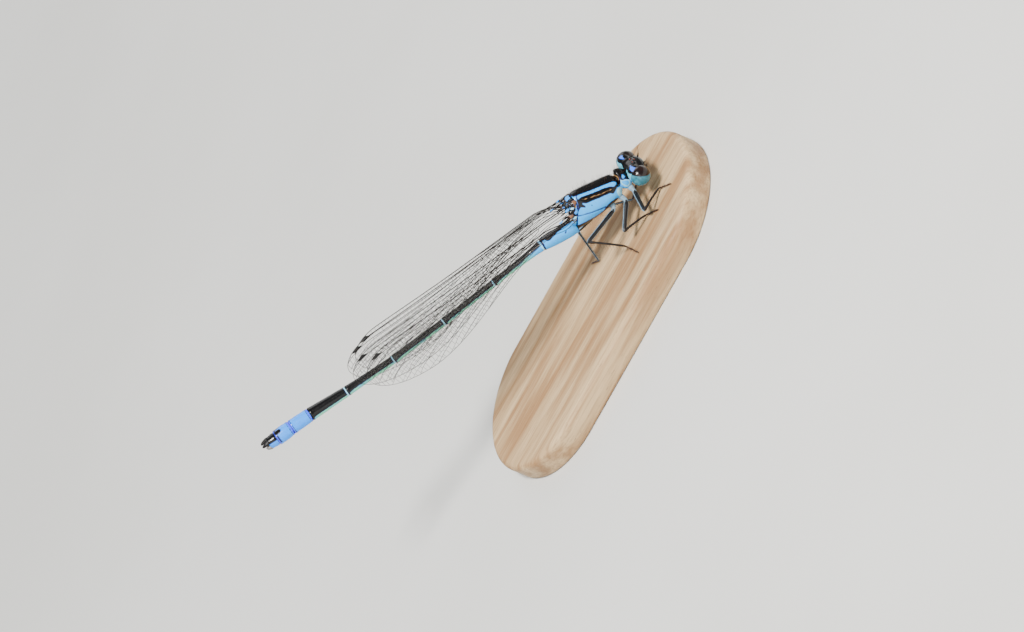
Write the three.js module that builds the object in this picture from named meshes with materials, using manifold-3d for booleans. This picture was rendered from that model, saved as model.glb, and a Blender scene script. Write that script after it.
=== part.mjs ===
/*
 * A male bluetail damselfly at life size, at rest with its wings closed along its back,
 * on a plain flat base. Millimetres, +Z up.
 *
 * The origin is the middle of the base's underside, and +X points the way the animal faces.
 * The body is built in its own frame, with its long axis along X and its back towards +Z,
 * and one group leans that frame nose down until all six feet stand at one level.
 */
import * as THREE from "three";
import { mergeVertices } from "three/addons/utils/BufferGeometryUtils.js";
import Module from "manifold-3d";

const wasm = await Module();
wasm.setup();

// Driving dimensions
const GAP = 0.3; // clearance that neighbouring pieces keep
const LEAN = THREE.MathUtils.degToRad(28); // nose-down lean of the body over its feet
const STANCE = 2.75; // the body frame's origin above the soles
const LIMBS = [0.32, 0.27, 0.25, 0.25, 0.16]; // radii of a leg at its joints, hip to tip
const BASE = { length: 27, width: 13, thickness: 2, chamfer: 0.4, ahead: 6.5 };

// Stations of the winged thorax, front to back: x, back line, belly line, half width
const THORAX = [
  [2.2, 0.62, 0.62, 0],
  [2.16, 1.12, 0.02, 0.5],
  [1.9, 1.46, -0.3, 0.82],
  [1.2, 1.66, -0.44, 0.98],
  [0.3, 1.87, -0.52, 1.05],
  [-0.55, 2.03, -0.55, 1.06],
  [-1.05, 1.8, -0.55, 1.0],
  [-1.5, 1.25, -0.53, 0.86],
  [-1.88, 0.6, -0.48, 0.62],
  [-1.95, 0.05, 0.05, 0],
];

// Stations of the prothorax and neck, in the same form
const PROTHORAX = [
  [3.3, 0.66, 0.66, 0],
  [3.26, 0.84, 0.46, 0.2],
  [3.0, 0.92, 0.36, 0.3],
  [2.92, 1.04, -0.12, 0.6],
  [2.66, 1.14, -0.24, 0.68],
  [2.4, 1.2, -0.1, 0.6],
  [2.1, 0.55, 0.55, 0],
];

// The head: where it sits, how it is turned, and its half sizes
const HEAD = { x: 3.61, z: 0.84, roll: 9, pitch: 8, yaw: 12, half: [0.6, 1.3, 0.58] };
const FACE = { x: 0.38, z: -0.2, half: [0.5, 0.72, 0.46] };
const LABRUM = { x: 0.4, z: -0.56, half: [0.36, 0.44, 0.3] };
const EYE = { y: 1.22, z: 0.02, half: [0.66, 0.66, 0.72], cut: 0.95 };

// The feelers: root and tip in the head's frame, for the left side, with the root clear of the head
const FEELER = { root: [0.8, 0.55, 0.43], tip: [1.35, 0.78, 0.86], thick: 0.25, thin: 0.16 };

// The abdomen's lengths: how long, how many degrees they climb to the rear, and diameters along them
const TAIL_ROOT = { x: -1.93, z: -0.27 };
const SEGMENTS = [
  { name: "abdomen_1_2", length: 2.8, climb: 7, girth: [1.02, 1.14, 1.12, 1.04, 0.88] },
  { name: "abdomen_3", length: 4.3, climb: -2.6, girth: [0.85, 0.66, 0.57, 0.55, 0.62] },
  { name: "abdomen_4", length: 4.46, climb: -2.3, girth: [0.57, 0.55, 0.55, 0.56, 0.64] },
  { name: "abdomen_5", length: 4.42, climb: -1, girth: [0.58, 0.57, 0.58, 0.6, 0.68] },
  { name: "abdomen_6", length: 4, climb: 2.3, girth: [0.61, 0.62, 0.65, 0.7, 0.78] },
  { name: "abdomen_7", length: 3.06, climb: 4, girth: [0.76, 0.82, 0.88, 0.94, 1.0] },
  { name: "abdomen_8", length: 1.6, climb: 1.5, girth: [1.0, 1.02, 1.04, 1.05, 1.06] },
  { name: "abdomen_9", length: 1.3, climb: 0, girth: [1.06, 1.12, 1.15, 1.14, 1.1] },
  { name: "abdomen_10", length: 0.66, climb: 2, girth: [1.02, 1.0, 0.96, 0.92, 0.86] },
];
const LIP = 0.05; // how much each length's two ends are drawn in
const CLASPERS = {
  length: 0.6, spread: 0.2, upper: 0.2, lower: -0.16, parting: 0.25, thick: 0.18, thin: 0.09,
};

// The wings, each pair measured from where its root leaves the thorax
const FORE = {
  x: -0.75, length: 20.15, rootY: 0.8, planeY: 0.88, rootZ: 1.7, midZ: 1.86, tipZ: 2.0,
  flare: 0.1, stalk: 0.6, lowest: -1.6, apex: 0.55,
};
const HIND = {
  x: -1.35, length: 18.75, rootY: 1.0, planeY: 1.7, rootZ: 1.05, midZ: 1.62, tipZ: 1.84,
  flare: 0.08, stalk: 0.6, lowest: -1.92, apex: 0.3,
};
const MEMBRANE = 0.24; // half the thickness of a wing between its veins
const VEIN = { height: 0.055, spread: 0.028, at: [0.115, 0.3, 0.5, 0.7, 0.86], rise: [0.03, 0.3] };
const STIGMA = { from: 0.875, to: 0.918, low: 0.035, high: 0.087 };
// Shares of a wing's length where its outline starts or ends a bend
const OUTLINE = { riseEnds: 0.14, liftStarts: 0.45, drop: [0.11, 0.76], leadCloses: 0.86, trailCloses: 0.74 };
const TIP_BLUNT = 0.985; // how far the two edges meet at the tip, where 1 would be a sharp point
const SPANS = [
  0, 0.035, 0.07, 0.11, 0.15, 0.2, 0.26, 0.33, 0.4, 0.48, 0.56, 0.64, 0.72, 0.79, 0.84,
  STIGMA.from, STIGMA.to, 0.945, 0.965, 0.982, 0.994, 1,
];

// The legs: joints in the body's frame, from inside the body to the tip of the foot.
// A foot's z is its height over the ground, because the ground slants in this frame.
const LEGS = {
  leg_fore_right: {
    coxa: [2.7, -0.25, 0.1], trochanter: [2.8, -0.62, -0.42], knee: [2.53, -2.7, -1.0],
    ankle: [4.3, -1.45, 0.26], toe: [5.08, -2.35, 0.13],
  },
  leg_fore_left: {
    coxa: [2.7, 0.25, 0.1], trochanter: [2.8, 0.62, -0.42], knee: [2.55, 2.6, -1.0],
    ankle: [3.95, 1.5, 0.26], toe: [4.6, 2.3, 0.13],
  },
  leg_mid_right: {
    coxa: [1.65, -0.3, 0.0], trochanter: [1.98, -0.7, -0.6], knee: [0.55, -2.2, -1.69],
    ankle: [2.47, -1.75, 0.26], toe: [3.3, -2.6, 0.13],
  },
  leg_mid_left: {
    coxa: [1.65, 0.3, 0.0], trochanter: [1.98, 0.7, -0.6], knee: [0.6, 1.95, -1.64],
    ankle: [2.4, 1.2, 0.26], toe: [3.2, 2.1, 0.13],
  },
  leg_hind_right: {
    coxa: [1.0, -0.25, -0.25], trochanter: [0.9, -0.66, -0.66], knee: [-1.97, -2.0, -0.8],
    ankle: [0.0, -2.1, 0.64], toe: [0.45, -3.2, 0.13],
  },
  leg_hind_left: {
    coxa: [1.0, 0.25, -0.25], trochanter: [0.9, 0.66, -0.66], knee: [-2.04, 1.75, -1.73],
    ankle: [-2.06, 1.15, 0.26], toe: [-2.5, 2.05, 0.13],
  },
};

// How finely round forms are faceted: sides round them, and steps along them
const FACETS = {
  thorax: [20, 14], prothorax: [16, 10], capsule: [18, 10], face: [16, 10], labrum: [14, 8],
  eye: [16, 12], bar: 6, ring: 14, base: 10,
};
const TINY = 1e-6;

// Finishes
const finish = (color, roughness, metalness = 0) =>
  new THREE.MeshStandardMaterial({ color, roughness, metalness });
const FINISH = {
  blue: () => finish(0x69b6f2, 0.45),
  black: () => finish(0x16181a, 0.35),
  green: () => finish(0x5f7f63, 0.4),
  eye: () => finish(0x3f6a72, 0.2),
  wing: () => finish(0xa79c84, 0.25),
  leg: () => finish(0x3a3b44, 0.45),
  wood: () => finish(0xcaa577, 0.6),
};

// A geometry as one closed skin: like corners merged, collapsed triangles dropped, faces outwards
function sealed(geometry) {
  const bare = new THREE.BufferGeometry();
  bare.setAttribute("position", geometry.getAttribute("position"));
  if (geometry.getIndex()) bare.setIndex(geometry.getIndex());
  const merged = mergeVertices(bare, 1e-4);
  const index = merged.getIndex().array;
  const position = merged.getAttribute("position");
  const corner = [0, 1, 2].map(() => new THREE.Vector3());
  const kept = [];
  let volume = 0;
  for (let i = 0; i < index.length; i += 3) {
    const [a, b, c] = [index[i], index[i + 1], index[i + 2]];
    if (a !== b && b !== c && c !== a) {
      kept.push([a, b, c]);
      [a, b, c].forEach((at, k) => corner[k].fromBufferAttribute(position, at));
      volume += corner[0].dot(corner[1].cross(corner[2]));
    }
  }
  merged.setIndex((volume < 0 ? kept.map(([a, b, c]) => [a, c, b]) : kept).flat());
  return merged;
}

function toSolid(geometry) {
  const skin = sealed(geometry);
  return new wasm.Manifold(new wasm.Mesh({
    numProp: 3,
    vertProperties: new Float32Array(skin.getAttribute("position").array),
    triVerts: new Uint32Array(skin.getIndex().array),
  }));
}

// The largest closed body of a solid, as a geometry again
function toGeometry(solid) {
  const bodies = solid.decompose().sort((a, b) => b.volume() - a.volume());
  const { vertProperties, triVerts } = bodies[0].getMesh();
  const geometry = new THREE.BufferGeometry();
  geometry.setAttribute("position", new THREE.BufferAttribute(vertProperties, 3));
  geometry.setIndex(new THREE.BufferAttribute(triVerts, 1));
  return geometry;
}

const joined = (pieces) => pieces.map(toSolid).reduce((whole, piece) => whole.add(piece));

// The same skin moved outwards by a distance
function grownBy(geometry, distance) {
  const skin = sealed(geometry);
  skin.computeVertexNormals();
  const position = skin.getAttribute("position");
  const normal = skin.getAttribute("normal");
  const point = new THREE.Vector3();
  const out = new THREE.Vector3();
  for (let i = 0; i < position.count; i += 1) {
    point.fromBufferAttribute(position, i);
    out.fromBufferAttribute(normal, i);
    point.addScaledVector(out, distance);
    position.setXYZ(i, point.x, point.y, point.z);
  }
  return skin;
}

// A solid cut back until it keeps the gap to each neighbour
const clearOf = (solid, ...neighbours) =>
  neighbours.reduce((left, next) => left.subtract(toSolid(grownBy(next, GAP))), solid);

// A closed skin around a long body. place gives the point at a share of the turn and of the length.
function wrapped(around, along, place) {
  const skin = new THREE.SphereGeometry(1, around, along);
  const uv = skin.getAttribute("uv");
  const position = skin.getAttribute("position");
  const point = new THREE.Vector3();
  for (let i = 0; i < position.count; i += 1) {
    place(uv.getX(i), 1 - uv.getY(i), point);
    position.setXYZ(i, point.x, point.y, point.z);
  }
  return sealed(skin);
}

// A trunk through stations of x, back line, belly line and half width, with a keeled back
function trunk(stations, [around, along]) {
  const keel = 1.12; // above 1 narrows the back
  const widest = 0.42; // height of the widest place, from belly to back
  const least = 0.05; // smallest half size away from the two ends
  const lines = new THREE.CatmullRomCurve3(stations.map(([x, top, low]) => new THREE.Vector3(x, top, low)));
  const widths = new THREE.CatmullRomCurve3(stations.map(([x, , , half]) => new THREE.Vector3(x, half, 0)));
  const line = new THREE.Vector3();
  const width = new THREE.Vector3();
  return wrapped(around, along, (turn, share, point) => {
    lines.getPoint(share, line);
    widths.getPoint(share, width);
    const floor = share > 0 && share < 1 ? least : 0;
    const middle = THREE.MathUtils.lerp(line.z, line.y, widest);
    const above = Math.max(line.y - middle, floor);
    const below = Math.max(middle - line.z, floor);
    const angle = turn * 2 * Math.PI;
    const up = Math.cos(angle);
    const height = up > 0 ? above * up ** keel : below * up;
    point.set(line.x, Math.max(width.y, floor) * Math.sin(angle), middle + height);
  });
}

function ellipsoid([x, y, z], [hx, hy, hz], [around, along]) {
  const ball = new THREE.SphereGeometry(1, around, along);
  ball.rotateX(Math.PI / 2);
  ball.scale(hx, hy, hz);
  ball.translate(x, y, z);
  return ball;
}

// A bar with round ends that runs from one joint to the next
function link(from, to, thick, thin) {
  const span = new THREE.Vector3().subVectors(to, from);
  const reach = span.length();
  const slant = Math.SQRT1_2;
  const profile = [
    [0, -thick], [thick * slant, -thick * slant], [thick, 0],
    [thin, reach], [thin * slant, reach + thin * slant], [0, reach + thin],
  ].map(([r, h]) => new THREE.Vector2(r, h));
  const bar = new THREE.LatheGeometry(profile, FACETS.bar);
  const up = new THREE.Vector3(0, 1, 0);
  bar.applyQuaternion(new THREE.Quaternion().setFromUnitVectors(up, span.normalize()));
  bar.translate(from.x, from.y, from.z);
  return bar;
}

const vector = ([x, y, z]) => new THREE.Vector3(x, y, z);

// Head
const headPlace = new THREE.Matrix4()
  .makeRotationFromEuler(new THREE.Euler(
    THREE.MathUtils.degToRad(HEAD.roll),
    THREE.MathUtils.degToRad(HEAD.pitch),
    THREE.MathUtils.degToRad(HEAD.yaw),
    "ZYX",
  ))
  .setPosition(HEAD.x, 0, HEAD.z);

// A box that holds everything between two planes across the head
function acrossHead(fromY, toY) {
  const reach = 4;
  const slice = new THREE.BoxGeometry(reach, toY - fromY, reach);
  slice.translate(0, (fromY + toY) / 2, 0);
  return toSolid(slice);
}

function headGeometry() {
  const capsule = ellipsoid([0, 0, 0], HEAD.half, FACETS.capsule);
  const face = ellipsoid([FACE.x, 0, FACE.z], FACE.half, FACETS.face);
  const labrum = ellipsoid([LABRUM.x, 0, LABRUM.z], LABRUM.half, FACETS.labrum);
  const edge = EYE.cut - GAP;
  const head = toGeometry(joined([capsule, face, labrum]).intersect(acrossHead(-edge, edge)));
  return head.applyMatrix4(headPlace);
}

function eyeGeometry(side) {
  const ball = toSolid(ellipsoid([0, side * EYE.y, EYE.z], EYE.half, FACETS.eye));
  const ends = [side * EYE.cut, side * (EYE.y + EYE.half[1] + GAP)].sort((a, b) => a - b);
  return toGeometry(ball.intersect(acrossHead(...ends))).applyMatrix4(headPlace);
}

function feelerGeometry(side) {
  const [root, tip] = [FEELER.root, FEELER.tip].map(([x, y, z]) => new THREE.Vector3(x, side * y, z));
  const run = new THREE.Vector3().subVectors(tip, root);
  const reach = run.length();
  const bar = new THREE.CylinderGeometry(FEELER.thin, FEELER.thick, reach, FACETS.bar);
  bar.translate(0, reach / 2, 0);
  bar.applyQuaternion(new THREE.Quaternion().setFromUnitVectors(new THREE.Vector3(0, 1, 0), run.normalize()));
  bar.translate(root.x, root.y, root.z);
  return toGeometry(toSolid(bar)).applyMatrix4(headPlace);
}

// Abdomen
function ringed(length, girth) {
  const trimmed = length - GAP;
  const bulge = girth.map((wide, i) => new THREE.Vector2(
    wide / 2,
    GAP / 2 + THREE.MathUtils.lerp(LIP, trimmed - LIP, i / (girth.length - 1)),
  ));
  const front = GAP / 2;
  const rear = length - GAP / 2;
  const profile = [
    new THREE.Vector2(0, front), new THREE.Vector2(girth[0] / 2 - LIP, front),
    ...bulge,
    new THREE.Vector2(girth.at(-1) / 2 - LIP, rear), new THREE.Vector2(0, rear),
  ];
  const ring = new THREE.LatheGeometry(profile, FACETS.ring);
  ring.rotateZ(Math.PI / 2);
  return ring;
}

// The four short prongs at the tail's end, with their roots sunk in the last ring
function claspers(length) {
  const bars = [];
  for (const side of [-1, 1]) {
    for (const height of [CLASPERS.upper, CLASPERS.lower]) {
      const root = new THREE.Vector3(-length + GAP, side * CLASPERS.spread, height);
      const run = new THREE.Vector3(-CLASPERS.length - GAP / 2, 0, height * CLASPERS.parting);
      const tip = root.clone().add(run);
      bars.push(link(root, tip, CLASPERS.thick, CLASPERS.thin));
    }
  }
  return bars;
}

function abdomenGeometries(thorax) {
  const joint = new THREE.Vector3(TAIL_ROOT.x, 0, TAIL_ROOT.z);
  return SEGMENTS.map(({ name, length, climb, girth }) => {
    const tilt = THREE.MathUtils.degToRad(climb);
    const last = name === SEGMENTS.at(-1).name;
    const pieces = [ringed(length, girth), ...(last ? claspers(length) : [])];
    pieces.forEach((piece) => piece.rotateY(tilt).translate(joint.x, 0, joint.z));
    joint.add(new THREE.Vector3(-length * Math.cos(tilt), 0, length * Math.sin(tilt)));
    return { name, geometry: toGeometry(clearOf(joined(pieces), thorax)) };
  });
}

// Wings
// A thin plate over a grid, its two faces split into the same triangles
function plate(columns, rows, place) {
  const across = columns.length;
  const grid = new THREE.PlaneGeometry(1, 1, across - 1, rows.length - 1);
  const count = grid.getAttribute("position").count;
  const points = [];
  const point = new THREE.Vector3();
  for (const face of [1, -1]) {
    for (const row of rows) {
      for (const column of columns) {
        place(column, row, face, point);
        points.push(point.x, point.y, point.z);
      }
    }
  }
  const front = Array.from(grid.getIndex().array);
  const back = [];
  for (let i = 0; i < front.length; i += 3) {
    back.push(front[i] + count, front[i + 2] + count, front[i + 1] + count);
  }
  const last = rows.length - 1;
  const range = (n) => Array.from({ length: n }, (_, i) => i);
  const rim = [
    ...range(last).map((i) => i * across),
    ...range(across - 1).map((i) => last * across + i),
    ...range(last).map((i) => (last - i) * across + across - 1),
    ...range(across - 1).map((i) => across - 1 - i),
  ];
  const edge = rim.flatMap((at, i) => {
    const next = rim[(i + 1) % rim.length];
    return [next, at, at + count, next, at + count, next + count];
  });
  const geometry = new THREE.BufferGeometry();
  geometry.setAttribute("position", new THREE.Float32BufferAttribute(points, 3));
  geometry.setIndex([...front, ...back, ...edge]);
  return geometry;
}

// How far a round wing tip has closed at a share of the wing's length, from 0 to nearly 1
function closing(share, start) {
  const along = THREE.MathUtils.clamp((share - start) / (1 - start), 0, 1);
  return 1 - Math.sqrt(1 - TIP_BLUNT * along ** 2);
}

// Heights of a wing's leading and trailing edges at a share of its length
function wingEdges(wing, share) {
  const { smoothstep, lerp } = THREE.MathUtils;
  const rise = lerp(wing.rootZ, wing.midZ, smoothstep(share, 0, OUTLINE.riseEnds));
  const lead = lerp(rise, wing.tipZ, smoothstep(share, OUTLINE.liftStarts, 1));
  const trail = lerp(lead - wing.stalk, wing.lowest, smoothstep(share, ...OUTLINE.drop));
  return [
    lerp(lead, wing.apex, closing(share, OUTLINE.leadCloses)),
    lerp(trail, wing.apex, closing(share, OUTLINE.trailCloses)),
  ];
}

// The columns of a wing's grid: each vein's crest between its two feet, and the two margins
function wingColumns() {
  const columns = [{ at: 0, crest: true }, { at: STIGMA.low, crest: false }];
  for (const at of VEIN.at) {
    columns.push({ at: at - VEIN.spread, crest: false });
    columns.push({ at, crest: true });
    columns.push({ at: at + VEIN.spread, crest: false });
  }
  columns.push({ at: 1, crest: false });
  return columns;
}

function wingGeometry(wing, side, thorax) {
  const { smoothstep, lerp } = THREE.MathUtils;
  const slab = plate(wingColumns(), SPANS, (column, share, face, point) => {
    const [lead, trail] = wingEdges(wing, share);
    const inStigma = share >= STIGMA.from && share <= STIGMA.to
      && column.at >= STIGMA.low && column.at <= STIGMA.high + TINY;
    const raised = column.crest || inStigma ? VEIN.height * smoothstep(share, ...VEIN.rise) : 0;
    const plane = lerp(wing.rootY, wing.planeY, smoothstep(share, 0, wing.flare));
    point.set(
      wing.x - share * wing.length,
      side * plane + face * (MEMBRANE + raised),
      lerp(lead, trail, column.at),
    );
  });
  return toGeometry(clearOf(toSolid(slab), thorax));
}

// Legs
const groundZ = (x, height = 0) => (x * Math.sin(LEAN) + height - STANCE) / Math.cos(LEAN);

// Everything under the soles, as a block
function underSoles() {
  const depth = 4;
  const block = new THREE.BoxGeometry(BASE.length, BASE.width, depth);
  block.translate(0, 0, -depth / 2);
  block.rotateY(-LEAN);
  block.translate(0, 0, groundZ(0));
  return block;
}

function legGeometry({ coxa, trochanter, knee, ankle, toe }, ...neighbours) {
  const onGround = ([x, y, height]) => new THREE.Vector3(x, y, groundZ(x, height));
  const joints = [coxa, trochanter, knee].map(vector).concat([ankle, toe].map(onGround));
  const bars = LIMBS.slice(1).map((thin, i) => link(joints[i], joints[i + 1], LIMBS[i], thin));
  const leg = clearOf(joined(bars), ...neighbours).subtract(toSolid(underSoles()));
  return toGeometry(leg);
}

// Display base
function baseGeometry() {
  const { length, width, thickness, chamfer } = BASE;
  const reach = length / 2 - width / 2;
  const radius = width / 2 - chamfer;
  const outline = new THREE.Shape();
  outline.absarc(reach, 0, radius, -Math.PI / 2, Math.PI / 2, false);
  outline.absarc(-reach, 0, radius, Math.PI / 2, 1.5 * Math.PI, false);
  const slab = new THREE.ExtrudeGeometry(outline, {
    depth: thickness - 2 * chamfer,
    bevelEnabled: true,
    bevelThickness: chamfer,
    bevelSize: chamfer,
    bevelSegments: 1,
    curveSegments: FACETS.base,
  });
  slab.translate(0, 0, chamfer);
  return toGeometry(toSolid(slab));
}

const model = new THREE.Group();
const body = new THREE.Group();
body.rotation.y = LEAN;
body.position.set(BASE.ahead, 0, BASE.thickness + GAP + STANCE);
model.add(body);

function place(parent, name, geometry, material) {
  const mesh = new THREE.Mesh(geometry, material);
  mesh.name = name;
  parent.add(mesh);
}

const thorax = trunk(THORAX, FACETS.thorax);
const head = headGeometry();
const prothorax = toGeometry(clearOf(toSolid(trunk(PROTHORAX, FACETS.prothorax)), thorax, head));

place(model, "stand_base", baseGeometry(), FINISH.wood());
place(body, "head", head, FINISH.black());
place(body, "prothorax", prothorax, FINISH.black());
place(body, "thorax", thorax, FINISH.blue());

for (const [word, side] of [["left", 1], ["right", -1]]) {
  place(body, `eye_${word}`, eyeGeometry(side), FINISH.eye());
  place(body, `antenna_${word}`, feelerGeometry(side), FINISH.black());
  place(body, `forewing_${word}`, wingGeometry(FORE, side, thorax), FINISH.wing());
  place(body, `hindwing_${word}`, wingGeometry(HIND, side, thorax), FINISH.wing());
}

const BLUE_RINGS = ["abdomen_1_2", "abdomen_8", "abdomen_9"];
for (const { name, geometry } of abdomenGeometries(thorax)) {
  place(body, name, geometry, BLUE_RINGS.includes(name) ? FINISH.blue() : FINISH.green());
}

for (const [name, leg] of Object.entries(LEGS)) {
  place(body, name, legGeometry(leg, thorax, prothorax), FINISH.leg());
}

export default model;
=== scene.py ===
"""A male bluetail damselfly at life size, at rest with closed wings on a plain oval wooden base.

Sizes are millimetres in the body's own frame: x towards the head, y to the animal's left, z
towards its back. standing() leans that frame nose down over the feet and turns it into metres.
"""

import logging
import math
from dataclasses import dataclass
from enum import Enum

import bpy
import numpy as np
from mathutils import Euler, Matrix, Vector

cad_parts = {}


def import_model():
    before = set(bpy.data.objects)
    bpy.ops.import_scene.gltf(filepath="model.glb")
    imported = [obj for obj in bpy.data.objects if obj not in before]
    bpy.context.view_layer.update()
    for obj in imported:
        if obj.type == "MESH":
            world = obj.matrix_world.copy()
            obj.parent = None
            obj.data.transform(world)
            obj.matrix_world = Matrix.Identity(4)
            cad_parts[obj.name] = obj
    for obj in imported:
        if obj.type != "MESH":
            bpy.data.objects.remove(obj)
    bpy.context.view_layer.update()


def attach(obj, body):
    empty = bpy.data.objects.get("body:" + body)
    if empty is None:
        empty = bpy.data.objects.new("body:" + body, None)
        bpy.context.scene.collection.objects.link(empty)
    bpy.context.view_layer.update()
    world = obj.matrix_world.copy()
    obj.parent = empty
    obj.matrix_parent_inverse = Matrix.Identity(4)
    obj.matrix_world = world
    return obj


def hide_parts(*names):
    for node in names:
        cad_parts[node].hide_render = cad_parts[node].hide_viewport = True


LOG = logging.getLogger("damselfly")

MM = 0.001
LEAN = math.radians(28.0)  # how far the body leans nose down
SHIFT = (6.5, 0.0, 5.05)  # the body frame's origin, from the middle of the base's underside
BOARD_TOP = 2.0  # height of the base's upper face
BRISTLE_SEED = 23
ROOT = "root"
TURN = 2 * math.pi
UP = np.array([0.0, 0.0, 1.0])
SEEN_UP = (0.5, math.cos(math.radians(30.0)))  # how much of y and z the photo's view shows as up
OFF = -1.0  # the depth of a place well outside a mark

Solid = bpy.types.Object
Skin = tuple[np.ndarray, list]  # points and faces
Socket = bpy.types.NodeSocket


class Side(Enum):
    """The animal's two sides, as the sign of y."""

    LEFT = 1
    RIGHT = -1

    @property
    def word(self) -> str:
        """The side's word in a piece's name."""
        return self.name.lower()


def standing(points: np.ndarray) -> np.ndarray:
    """Turns places in the body's frame into metres over the base.

    Args:
        points: places in millimetres, one a row.

    Returns:
        The same places in the model's frame, in metres.
    """
    x, y, z = points[:, 0], points[:, 1], points[:, 2]
    cos, sin = math.cos(LEAN), math.sin(LEAN)
    placed = (SHIFT[0] + x * cos + z * sin, SHIFT[1] + y, SHIFT[2] - x * sin + z * cos)
    return np.stack(placed, axis=1) * MM


def on_board(x: float, y: float, height: float) -> np.ndarray:
    """Gives the body-frame place at x and y that is some height over the base's upper face."""
    level = BOARD_TOP + height - SHIFT[2]
    return np.array([x, y, (level + x * math.sin(LEAN)) / math.cos(LEAN)])


def smoothstep(value: np.ndarray, low: float, high: float) -> np.ndarray:
    """Rises smoothly from 0 at low to 1 at high."""
    share = np.clip((np.asarray(value, float) - low) / (high - low), 0.0, 1.0)
    return share * share * (3.0 - 2.0 * share)


def eased(stations: np.ndarray, at: np.ndarray) -> np.ndarray:
    """Runs a smooth line through stations without overshooting them.

    Args:
        stations: rows of (place, value, value, ...), with rising places.
        at: the places to read.

    Returns:
        One row of values for each place.
    """
    place, values = stations[:, 0], stations[:, 1:]
    step = np.diff(place)[:, None]
    slope = np.diff(values, axis=0) / step
    before, after = slope[:-1], slope[1:]
    inner = np.where(before * after > 0, 2 * before * after / (before + after + 1e-12), 0.0)
    tangent = np.vstack([slope[:1], inner, slope[-1:]])
    index = np.clip(np.searchsorted(place, at, side="right") - 1, 0, len(place) - 2)
    width = step[index]
    share = ((at - place[index])[:, None]) / width
    cube, square = share**3, share**2
    return (
        (2 * cube - 3 * square + 1) * values[index]
        + (cube - 2 * square + share) * width * tangent[index]
        + (3 * square - 2 * cube) * values[index + 1]
        + (cube - square) * width * tangent[index + 1]
    )


def rounded(outline: np.ndarray, times: int = 2, closed: bool = True) -> np.ndarray:
    """Cuts the corners of an outline, as often as times says.

    Args:
        outline: the line's points, one a row.
        times: how often its corners are cut.
        closed: whether its end joins its start.

    Returns:
        The smoother line's points.
    """
    for _ in range(times):
        after = np.roll(outline, -1, axis=0)
        cut = np.stack([outline * 0.75 + after * 0.25, outline * 0.25 + after * 0.75], axis=1)
        cut = cut.reshape(-1, outline.shape[1])
        outline = cut if closed else np.vstack([outline[:1], cut[:-2], outline[-1:]])
    return outline


def strides(path: np.ndarray) -> np.ndarray:
    """How far along a path each of its points lies."""
    return np.concatenate([[0.0], np.cumsum(np.linalg.norm(np.diff(path, axis=0), axis=1))])


def away_from(places: np.ndarray, path: np.ndarray, closed: bool = False) -> np.ndarray:
    """Measures how far places lie from a line of straight pieces.

    Args:
        places: where to measure, one a row.
        path: the line's points.
        closed: whether the line's end joins its start.

    Returns:
        Each place's distance from the line.
    """
    best = np.full(len(places), np.inf)
    ends = np.roll(path, -1, axis=0) if closed else path[1:]
    for start, end in zip(path, ends):
        run = end - start
        share = np.clip(((places - start) @ run) / max(run @ run, 1e-12), 0.0, 1.0)
        best = np.minimum(best, np.linalg.norm(places - start - share[:, None] * run, axis=1))
    return best


def inside(places: np.ndarray, outline: np.ndarray) -> np.ndarray:
    """Measures how deep places lie in a closed outline, below zero outside it.

    Args:
        places: where to measure, one a row.
        outline: the closed outline's points.

    Returns:
        Each place's depth, below nothing outside.
    """
    within = np.zeros(len(places), bool)
    for start, end in zip(outline, np.roll(outline, -1, axis=0)):
        rise = end[1] - start[1]
        across = (start[1] > places[:, 1]) != (end[1] > places[:, 1])
        at = start[0] + (end[0] - start[0]) * (places[:, 1] - start[1]) / (rise if rise else 1e-12)
        within ^= across & (places[:, 0] < at)
    depth = away_from(places, outline, closed=True)
    return np.where(within, depth, -depth)


@dataclass(frozen=True)
class Tracing:
    """Marks read off one enlarged part of the photo, laid on the body's side plane."""

    left: float
    top: float
    zoom: float
    scale: float = 14.2
    middle: tuple[float, float] = (597.0, 207.0)
    across: float = 0.809  # the body's slope in the photo, as cosine and sine
    down: float = 0.588

    def plane(self, marks: list[tuple[float, float]]) -> np.ndarray:
        """Turns marks in the enlarged part into millimetres along and across the body.

        Args:
            marks: places in the enlarged part.

        Returns:
            Rows of (along, up): along the body's x, and up as the photo's view shows it.
        """
        spots = np.array(marks, float) / self.zoom + (self.left, self.top) - self.middle
        along = (spots[:, 0] * self.across - spots[:, 1] * self.down) / self.scale
        up = (-spots[:, 0] * self.down - spots[:, 1] * self.across) / self.scale
        return np.stack([along, up], axis=1)


def linked(name: str, data: bpy.types.ID) -> Solid:
    """Puts data into the scene as a new object."""
    shown = bpy.data.objects.new(name, data)
    bpy.context.scene.collection.objects.link(shown)
    return shown


def hold(mesh: bpy.types.Mesh, name: str, values: np.ndarray, kind: str = "FLOAT") -> None:
    """Writes a number, or a direction, at each of a mesh's points."""
    layer = mesh.attributes.new(name, kind, "POINT")
    layer.data.foreach_set("value" if kind == "FLOAT" else "vector", np.asarray(values, np.float32).ravel())


def solid(name: str, places: np.ndarray, faces: list, marks: dict | None = None) -> Solid:
    """Makes a smooth-shaded piece out of places in metres, with values held at its points.

    Args:
        name: the piece's name.
        places: its points in metres.
        faces: its faces.
        marks: values held at each point, by name.

    Returns:
        The new object, at the origin.
    """
    mesh = bpy.data.meshes.new(name)
    mesh.from_pydata(places.tolist(), [], faces)
    for mark, values in (marks or {}).items():
        hold(mesh, mark, values)
    mesh.polygons.foreach_set("use_smooth", [True] * len(mesh.polygons))
    mesh.validate()
    mesh.update()
    return linked(name, mesh)


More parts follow.
